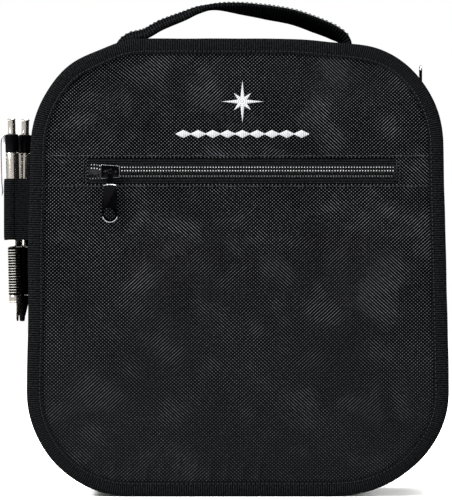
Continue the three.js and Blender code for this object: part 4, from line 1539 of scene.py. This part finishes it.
def make_handle():
    """The webbing carry handle, rolled in the middle, with stitched edges and a patch at each end."""
    webbing = polypropylene_webbing()
    low, high = box_of("handle_strap")
    y = (low[1] + high[1]) / 2
    part, (centre, tangent, wide, thick, along) = strap(
        HANDLE_POINTS, HANDLE_ROLL, y, HANDLE_HALF_WIDTH, HANDLE_THICK
    )
    piece = add_piece("carry_handle", [part], webbing, None, ["handle_strap"], soft=False)
    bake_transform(piece)
    inner = np.linspace(14, along[-1] - 14, int((along[-1] - 28) / 2.9))
    rows = []
    direction = np.stack([tangent[:, 0], np.zeros(len(along)), tangent[:, 1]], -1)
    c3, t3, n3, w3 = (
        np.stack([np.interp(inner, along, data[:, k])
        for k in range(3)], -1) for data in (centre, direction, thick, wide)
    )
    for offset in (-10.6, 10.6):
        rows.append(stitches(c3 + w3 * offset + n3 * (HANDLE_THICK / 2 - 0.3), t3, n3, 2.0, 0.36))
    seam = add_seam("carry_handle_stitches", rows, None, soft=False)
    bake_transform(seam)
    for side in ("left", "right"):
        low, high = box_of(f"handle_patch_{side}")
        top = EDGE_Z > 0.6 * HEIGHT
        right, left = (np.interp(-edge, -EDGE_X[top], EDGE_ALONG[top]) for edge in (high[0], low[0]))
        ys = np.linspace(low[1] + 0.15, high[1] - 0.15, 9)
        outer, inner = PATCH_INSET - 0.05, PATCH_INSET + PATCH_THICK
        profile = [(v, outer, 1) for v in ys] + [(v, inner, 1) for v in ys[::-1]]
        patch = ring(profile, 60, span=(right + 0.4, left - 0.4))
        add_piece(
            f"handle_patch_{side}_webbing",
            [patch],
            webbing,
            "shell",
            [f"handle_patch_{side}"],
            soft=False,
        )
        rows = []
        for y_row in (low[1] + 1.8, high[1] - 1.8):
            rows.append(patch_stitches(np.arange(right + 2, left - 1.5, 2.6), y_row, True))
        for at_end in (right + 2, left - 2):
            rows.append(patch_stitches(at_end, np.arange(low[1] + 3, high[1] - 2.5, 2.6), False))
        add_seam(f"handle_patch_{side}_stitches", rows, "shell")


# ---- Pens and their loop ----

PEN_TIP_Z = 112.5
PENS = {"pen_a": (-148.6, -2.0, 1.25, 0.0), "pen_b": (-142.3, 7.6, -0.9, -60.0)}


def pen_axes(name):
    """Where a pen's tip stands and its local axes: z along the pen, -x towards the clip.

    The pen leans in the XZ plane about the middle of the loop, and is then turned about its own length."""
    x, y, lean_degrees, turn_degrees = PENS[name]
    lean, turn = math.radians(lean_degrees), math.radians(turn_degrees)
    middle = 75.0
    origin = (x + middle * math.sin(lean), y, PEN_TIP_Z + middle * (1 - math.cos(lean)))
    rotation = Matrix.Rotation(-lean, 3, "Y") @ Matrix.Rotation(turn, 3, "Z")
    return origin, np.array(rotation.transposed())


def make_pens():
    """Two click pens, each with a nose cone, ringed grip, tube, collar, clip and push button."""
    chrome, plastic = pen_chrome(), pen_plastic()
    for name in PENS:
        origin, axes = pen_axes(name)

        def add(label, parts, finish, node, body=name):
            """Places one pen part in the bag and gives it its node."""
            add_piece(
                f"{name}_{label}",
                [placed(p, origin, axes) for p in parts],
                finish,
                body,
                [node],
                soft=False,
                crease=32,
            )

        cone = lathe(
            [0.6, 0.7, 1.0, 1.6, 4.3, 4.6, 5.0, 9.0, 12.6, 13.0, 13.3, 13.8, 14.0, 17.6, 18.0, 18.05],
            [0.9, 1.25, 1.6, 1.75, 1.95, 2.1, 2.25, 3.15, 3.95, 4.15, 4.05, 4.05, 4.2, 4.2, 4.0, 3.0],
        )
        add("tip_cone", [cone], chrome if name == "pen_a" else plastic, f"{name}_nose_cone")
        pitch = size("grip_pitch")
        rings_z = np.arange(18.6, 49.6 - pitch / 2, pitch)
        step = np.array([0.0, 0.06, 0.56, 0.62]) * pitch
        heights = np.concatenate([[18.2, 18.3], (rings_z[:, None] + step).ravel(), [50.0, 50.1]])
        radii = np.concatenate([[3.3, 4.3], np.tile([3.9, 4.4, 4.4, 3.9], len(rings_z)), [4.3, 3.3]])
        add("ringed_grip", [lathe(heights, radii)], plastic, f"{name}_grip")
        if name == "pen_a":
            gap = np.array([0.64, 0.66, 0.96, 0.98]) * pitch
            bright = [lathe(z + gap, [3.8, 4.15, 4.15, 3.8]) for z in rings_z[:-1]]
            piece_parts = [placed(p, origin, axes) for p in bright]
            add_piece(f"{name}_grip_bands", piece_parts, chrome, name, soft=False, crease=32)
        tube_part = lathe(
            [50.2, 50.3, 50.6, 51.0, 51.3, 51.6, 111.8, 112.3, 112.4],
            [3.2, 4.1, 4.4, 4.4, 4.3, 4.4, 4.4, 4.2, 3.2],
        )
        add("tube", [tube_part], chrome, f"{name}_barrel")
        collar = lathe(
            [112.6, 112.7, 113.1, 113.6, 113.9, 114.2, 123.2, 124.4, 124.8, 124.9],
            [3.2, 4.25, 4.5, 4.5, 4.35, 4.5, 4.5, 4.2, 3.6, 2.9],
        )
        add("collar_cap", [collar], plastic, f"{name}_collar")
        button = lathe(
            [110.4, 110.6, 125.5, 126.2, 126.4, 133.6, 134.0, 134.3, 134.7, 135.1, 135.25],
            [2.3, 2.6, 2.6, 2.6, 2.5, 2.5, 2.5, 2.85, 2.85, 2.5, 1.2],
        )
        add("click_button", [button], chrome, f"{name}_push_button", body=f"{name}_button")
        z = np.array(
            [124.6, 124.0, 122.0, 119.0, 116.0, 112.0, 105.0, 98.0, 92.5, 90.0, 88.0, 86.5, 85.2, 84.2]
        )
        out = np.array([5.0, 5.9, 6.8, 7.25, 7.35, 7.4, 7.4, 7.4, 7.35, 7.2, 6.95, 7.0, 7.3, 7.6])
        wide = np.array([1.9, 1.8, 1.7, 1.6, 1.55, 1.5, 1.45, 1.4, 1.4, 1.45, 1.55, 1.6, 1.5, 1.1])
        deep = np.array([0.6, 0.5, 0.42, 0.38, 0.36, 0.35, 0.35, 0.35, 0.36, 0.4, 0.45, 0.42, 0.36, 0.25])
        turn = np.linspace(0, 2 * math.pi, 12, endpoint=False)
        sections = np.stack(
            [
                -out[:, None] + deep[:, None] * np.sin(turn),
                wide[:, None] * np.sign(np.cos(turn)) * np.abs(np.cos(turn)) ** 0.5,
                np.repeat(z[:, None], 12, 1),
            ],
            -1,
        )
        root = rounded_block((-5.6, -1.7, 118.4), (-4.2, 1.7, 124.4), 0.3)
        add("spring_clip", [sweep(sections), root], spring_wire(), f"{name}_clip")


def loop_path():
    """The elastic's path seen from above: along the gusset, round pen A and then pen B, and back."""
    clear = 4.5 + 0.75 + 0.6
    foot_x = -134.6
    (ax, ay, _, _), (bx, by, _, _) = PENS["pen_a"], PENS["pen_b"]
    arc_a = np.radians(np.linspace(290, 146, 30))
    arc_b = np.radians(np.linspace(146, 65, 18))
    around = np.concatenate(
        [
            np.stack([ax + clear * np.cos(arc_a), ay + clear * np.sin(arc_a)], -1),
            np.stack([bx + clear * np.cos(arc_b), by + clear * np.sin(arc_b)], -1),
        ]
    )
    low, high = box_of("pen_loop")
    start = [(foot_x, low[1] + 0.2), (foot_x, low[1] + 4.5), (foot_x - 1.5, low[1] + 5.6)]
    end = [(foot_x - 1.2, high[1] - 5.4), (foot_x, high[1] - 4.5), (foot_x, high[1] - 0.2)]
    points = np.concatenate([start, around[::3], end])
    return smooth_path(points, 200)[0]


def make_pen_loop():
    """The knitted elastic strip led round both pens, with a sewn foot at each end."""
    path = loop_path()
    low, high = box_of("pen_loop")
    tangent = np.gradient(path, axis=0)
    tangent /= np.linalg.norm(tangent, axis=1, keepdims=True)
    normal = np.stack([tangent[:, 1], -tangent[:, 0]], -1)
    along = np.concatenate([[0], np.cumsum(np.linalg.norm(np.diff(path, axis=0), axis=1))])
    z = np.linspace(low[2] + 0.2, high[2] - 0.2, 60)
    ribs = 0.16 * np.cos(2 * math.pi * (z - low[2]) / 1.3)
    thin = 0.5 * np.sqrt(np.clip(1 - np.abs((z - z.mean()) / (z[-1] - z.mean())) ** 14, 0.15, 1))
    pull_in = 0.25 * np.sin(along / 7)[:, None] * smooth(np.abs(z - z.mean()), 14, 20)[None]
    outer = path[:, None] + normal[:, None] * (thin + ribs + pull_in)[..., None]
    inner = path[:, None] - normal[:, None] * thin[None, :, None]

    def stack(xy):
        """The strip's outline at every height."""
        return np.concatenate([xy, np.repeat(z[None, :, None], len(path), 0)], -1)

    uv = np.stack(np.broadcast_arrays(along[:, None], z[None]), -1)
    part = sweep(
        np.concatenate([stack(outer), stack(inner)[:, ::-1]], 1), np.concatenate([uv, uv[:, ::-1]], 1)
    )
    add_piece("pen_loop_elastic", [part], knitted_elastic(), "shell", ["pen_loop"], soft=False)
    rows = []
    for y in (low[1] + 1.4, low[1] + 3.2, high[1] - 1.4, high[1] - 3.2):
        heights = np.arange(low[2] + 2, high[2] - 1, 2.6)
        n = len(heights)
        p = np.stack([np.full(n, -135.25), np.full(n, y), heights], -1)
        rows.append(stitches(p, same([0, 0, 1.0], n), same([-1.0, 0, 0], n), 2.1, 0.4))
    add_seam("pen_loop_stitches", rows, "shell", soft=False)


# ---- Embroidery ----


def make_embroidery():
    """The compass rose and the row of diamonds in satin stitch, standing a little off the cloth."""
    thread = rayon_embroidery()
    centre_x, centre_z = 3.0, 257.0
    radii = np.array([14, 3.2, 8, 3.2])
    per = 8
    corner = np.arange(17)
    angle = math.pi / 2 + corner * math.pi / 8
    corners = np.stack([np.cos(angle), np.sin(angle)], -1) * radii[corner % 4][:, None]
    t = np.linspace(0, 1, per, endpoint=False)[None, :, None]
    outline = (corners[:-1, None] * (1 - t) + corners[1:, None] * t).reshape(-1, 2)
    spike = math.pi / 2 + 2 * np.round((np.arange(16 * per) / per) / 2) * math.pi / 8
    spike_way = np.stack([np.cos(spike), np.sin(spike)], -1)
    rows, uvs = [], []
    scales = (0.03, 1.0, 1.0, 0.96, 0.8, 0.5, 0.25, 0.03)
    rises = (0.0, 0.05, 0.35, 0.55, 0.7, 0.8, 0.85, 0.85)
    for scale, rise in zip(scales, rises):
        xz = outline * scale
        x, z = centre_x + xz[:, 0], centre_z + xz[:, 1]
        y = front_face(x, z) - rise
        rows.append(np.stack([x, y, z], -1))
        uvs.append(np.stack([(xz * spike_way).sum(1), np.zeros(len(x))], -1))
    rose = sweep(np.array(rows), np.array(uvs))
    add_piece(
        "rose_embroidery", [rose], thread, "lid", ["embroidered_rose"], soft=False, crease=60
    )
    low, high = box_of("embroidered_row")
    x = np.linspace(low[0], high[0], 217)
    pitch = (high[0] - low[0]) / 9
    zig = 1 - np.abs(((x - low[0]) / pitch) % 1 - 0.5) * 2
    half = 0.35 + 2.25 * zig
    turn = np.linspace(0, 2 * math.pi, 12, endpoint=False)
    z = 236 + half[:, None] * np.cos(turn)
    gx = np.repeat(x[:, None], 12, 1)
    y = front_face(gx, z) - 0.05 - (0.25 + 0.5 * zig)[:, None] * np.clip(np.sin(turn), -0.1, 1)[None]
    uv = np.stack([gx, 0 * z], -1)
    row = sweep(np.stack([gx, y, z], -1), uv)
    add_piece("row_embroidery", [row], thread, "lid", ["embroidered_row"], soft=False, crease=60)


def finish_cad_nodes():
    """Gives the CAD nodes that stay their finish: the board, the springs and the refills."""
    finishes = {"back_stiffener": stiffener_board()}
    for pen in PENS:
        finishes[f"{pen}_spring"] = spring_wire()
        finishes[f"{pen}_refill"] = pen_plastic()
    for node, finish in finishes.items():
        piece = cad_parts[node]
        for material_slot in piece.material_slots:
            material_slot.material = finish


# ---- Stage ----


def add_light(name, place, target, wide, high, watts):
    """A soft area light at a place, turned to a target, in metres."""
    lamp = bpy.data.lights.new(name, "AREA")
    lamp.shape, lamp.size, lamp.size_y, lamp.energy = "RECTANGLE", wide, high, watts
    light = bpy.data.objects.new(name, lamp)
    light.location = place
    way = Vector(place) - Vector(target)
    light.rotation_euler = way.to_track_quat("Z", "Y").to_euler()
    bpy.context.collection.objects.link(light)


def make_stage():
    """The camera, the pale floor, the white surround and three soft lights."""
    scene = bpy.context.scene
    scene.view_settings.view_transform = "Standard"
    lens = bpy.data.cameras.new("camera")
    away, frame_height = 2.0, 0.325
    lens.lens = lens.sensor_width * away / frame_height
    lens.clip_end = 20
    camera = bpy.data.objects.new("camera", lens)
    camera.location = (-0.0077, EDGE_LOW[1] * MM - away, 0.1606)
    camera.rotation_euler = (math.pi / 2, 0, 0)
    bpy.context.collection.objects.link(camera)
    scene.camera = camera

    world = bpy.data.worlds.new("white surround")
    scene.world = world
    world.use_nodes = True
    world.node_tree.nodes["Background"].inputs[0].default_value = (1, 1, 1, 1)
    world.node_tree.nodes["Background"].inputs[1].default_value = 1.0

    # Matt painted board: pale, with barely seen unevenness.
    paint, tree, shader = start_finish("Matt floor paint", Roughness=0.9)
    place = add_node(tree, "TexCoord", output="Object")
    share = add_node(tree, "TexNoise", {"Vector": place, "Scale": 6.0})
    low = shaded(tint("floor"), 0.97)
    tree.links.new(
        add_node(tree, "Mix", {0: share, 6: low, 7: tint("floor")}, output=2, data_type="RGBA"),
        shader.inputs["Base Color"],
    )
    reach = 4.0
    mesh = bpy.data.meshes.new("floor")
    mesh.from_pydata(
        [(-reach, -reach, 0), (reach, -reach, 0), (reach, reach, 0), (-reach, reach, 0)], [], [(0, 1, 2, 3)]
    )
    floor = bpy.data.objects.new("floor", mesh)
    mesh.materials.append(paint)
    bpy.context.collection.objects.link(floor)

    target = (0, 0, 0.15)
    add_light("key_light", (-1.5, -0.9, 1.5), target, 0.8, 0.8, 230)
    add_light("fill_light", (1.7, -0.9, 0.8), target, 1.0, 1.0, 40)
    add_light("top_light", (0.2, -0.2, 1.9), target, 1.4, 0.8, 60)


# ---- Add-on: one operator for each piece or group of like pieces ----

class FLIGHTBAG_OT_stage(bpy.types.Operator):
    """Makes the camera, the floor, the surround and the lights"""

    bl_idname = "flight_bag.stage"
    bl_label = "Studio"

    def execute(self, context):
        make_stage()
        return {"FINISHED"}


class FLIGHTBAG_OT_front_panels(bpy.types.Operator):
    """Makes the upper front panel, the pocket's face and its zip ends"""

    bl_idname = "flight_bag.front_panels"
    bl_label = "Front panels"

    def execute(self, context):
        make_front_panels()
        return {"FINISHED"}


class FLIGHTBAG_OT_back_panel(bpy.types.Operator):
    """Makes the back panel"""

    bl_idname = "flight_bag.back_panel"
    bl_label = "Back panel"

    def execute(self, context):
        make_back_panel()
        return {"FINISHED"}


class FLIGHTBAG_OT_padding(bpy.types.Operator):
    """Makes the foam in the front, the back and the gusset"""

    bl_idname = "flight_bag.padding"
    bl_label = "Padding"

    def execute(self, context):
        make_padding()
        return {"FINISHED"}


class FLIGHTBAG_OT_linings(bpy.types.Operator):
    """Makes the smooth inner cloth"""

    bl_idname = "flight_bag.linings"
    bl_label = "Linings"

    def execute(self, context):
        make_linings()
        return {"FINISHED"}


class FLIGHTBAG_OT_bindings(bpy.types.Operator):
    """Makes the ribbed tape over the two bound edges and its stitches"""

    bl_idname = "flight_bag.bindings"
    bl_label = "Bindings"

    def execute(self, context):
        make_bindings()
        return {"FINISHED"}


class FLIGHTBAG_OT_gussets(bpy.types.Operator):
    """Makes the canvas sides and their seams at the zip"""

    bl_idname = "flight_bag.gussets"
    bl_label = "Gussets"

    def execute(self, context):
        make_gussets()
        return {"FINISHED"}


class FLIGHTBAG_OT_pocket_zip(bpy.types.Operator):
    """Makes the pocket's zip, its teeth and its stitches"""

    bl_idname = "flight_bag.pocket_zip"
    bl_label = "Pocket zip"

    def execute(self, context):
        make_pocket_zip()
        return {"FINISHED"}


class FLIGHTBAG_OT_main_zip(bpy.types.Operator):
    """Makes the tapes and the teeth of the zip round the bag"""

    bl_idname = "flight_bag.main_zip"
    bl_label = "Main zip"

    def execute(self, context):
        make_main_zip()
        return {"FINISHED"}


class FLIGHTBAG_OT_sliders(bpy.types.Operator):
    """Makes the three zip sliders and their pulls"""

    bl_idname = "flight_bag.sliders"
    bl_label = "Sliders and pulls"

    def execute(self, context):
        make_sliders()
        return {"FINISHED"}


class FLIGHTBAG_OT_spine(bpy.types.Operator):
    """Makes the cloth spine and the zip's end stops"""

    bl_idname = "flight_bag.spine"
    bl_label = "Spine and stops"

    def execute(self, context):
        make_stops_and_spine()
        return {"FINISHED"}


class FLIGHTBAG_OT_handle(bpy.types.Operator):
    """Makes the webbing handle, its patches and their stitches"""

    bl_idname = "flight_bag.handle"
    bl_label = "Carry handle"

    def execute(self, context):
        make_handle()
        return {"FINISHED"}


class FLIGHTBAG_OT_pens(bpy.types.Operator):
    """Makes the two click pens"""

    bl_idname = "flight_bag.pens"
    bl_label = "Pens"

    def execute(self, context):
        make_pens()
        return {"FINISHED"}


class FLIGHTBAG_OT_pen_loop(bpy.types.Operator):
    """Makes the elastic loop that holds the pens"""

    bl_idname = "flight_bag.pen_loop"
    bl_label = "Pen loop"

    def execute(self, context):
        make_pen_loop()
        return {"FINISHED"}


class FLIGHTBAG_OT_embroidery(bpy.types.Operator):
    """Makes the compass rose and the row of diamonds"""

    bl_idname = "flight_bag.embroidery"
    bl_label = "Embroidery"

    def execute(self, context):
        make_embroidery()
        return {"FINISHED"}


class FLIGHTBAG_OT_frame_finishes(bpy.types.Operator):
    """Gives the kept frame nodes their materials"""

    bl_idname = "flight_bag.frame_finishes"
    bl_label = "Frame finishes"

    def execute(self, context):
        finish_cad_nodes()
        return {"FINISHED"}


OPERATORS = (
    FLIGHTBAG_OT_stage,
    FLIGHTBAG_OT_front_panels,
    FLIGHTBAG_OT_back_panel,
    FLIGHTBAG_OT_padding,
    FLIGHTBAG_OT_linings,
    FLIGHTBAG_OT_bindings,
    FLIGHTBAG_OT_gussets,
    FLIGHTBAG_OT_pocket_zip,
    FLIGHTBAG_OT_main_zip,
    FLIGHTBAG_OT_sliders,
    FLIGHTBAG_OT_spine,
    FLIGHTBAG_OT_handle,
    FLIGHTBAG_OT_pens,
    FLIGHTBAG_OT_pen_loop,
    FLIGHTBAG_OT_embroidery,
    FLIGHTBAG_OT_frame_finishes,
)


class FLIGHTBAG_PT_sidebar(bpy.types.Panel):
    """Lists the bag's pieces, sizes and colours"""

    bl_idname = "FLIGHTBAG_PT_sidebar"
    bl_label = "Flight Bag"
    bl_space_type = "VIEW_3D"
    bl_region_type = "UI"
    bl_category = "Flight Bag"

    def draw(self, context):
        column = self.layout.column(align=True)
        for made in OPERATORS:
            column.operator(made.bl_idname)
        for settings in (context.scene.flight_bag_sizes, context.scene.flight_bag_colours):
            group = self.layout.column(align=True)
            for name in type(settings).__annotations__:
                group.prop(settings, name)


CLASSES = (FlightBagSizes, FlightBagColours, *OPERATORS, FLIGHTBAG_PT_sidebar)


def register():
    """Registers the classes and hangs the sizes and colours on the scene."""
    for made in CLASSES:
        bpy.utils.register_class(made)
    bpy.types.Scene.flight_bag_sizes = bpy.props.PointerProperty(type=FlightBagSizes)
    bpy.types.Scene.flight_bag_colours = bpy.props.PointerProperty(type=FlightBagColours)


def unregister():
    """Takes everything off again."""
    del bpy.types.Scene.flight_bag_sizes
    del bpy.types.Scene.flight_bag_colours
    for made in reversed(CLASSES):
        bpy.utils.unregister_class(made)


def main():
    """Registers the add-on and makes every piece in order."""
    register()
    for made in OPERATORS:
        group, name = made.bl_idname.split(".")
        getattr(getattr(bpy.ops, group), name)()


if __name__ == "__main__":
    main()
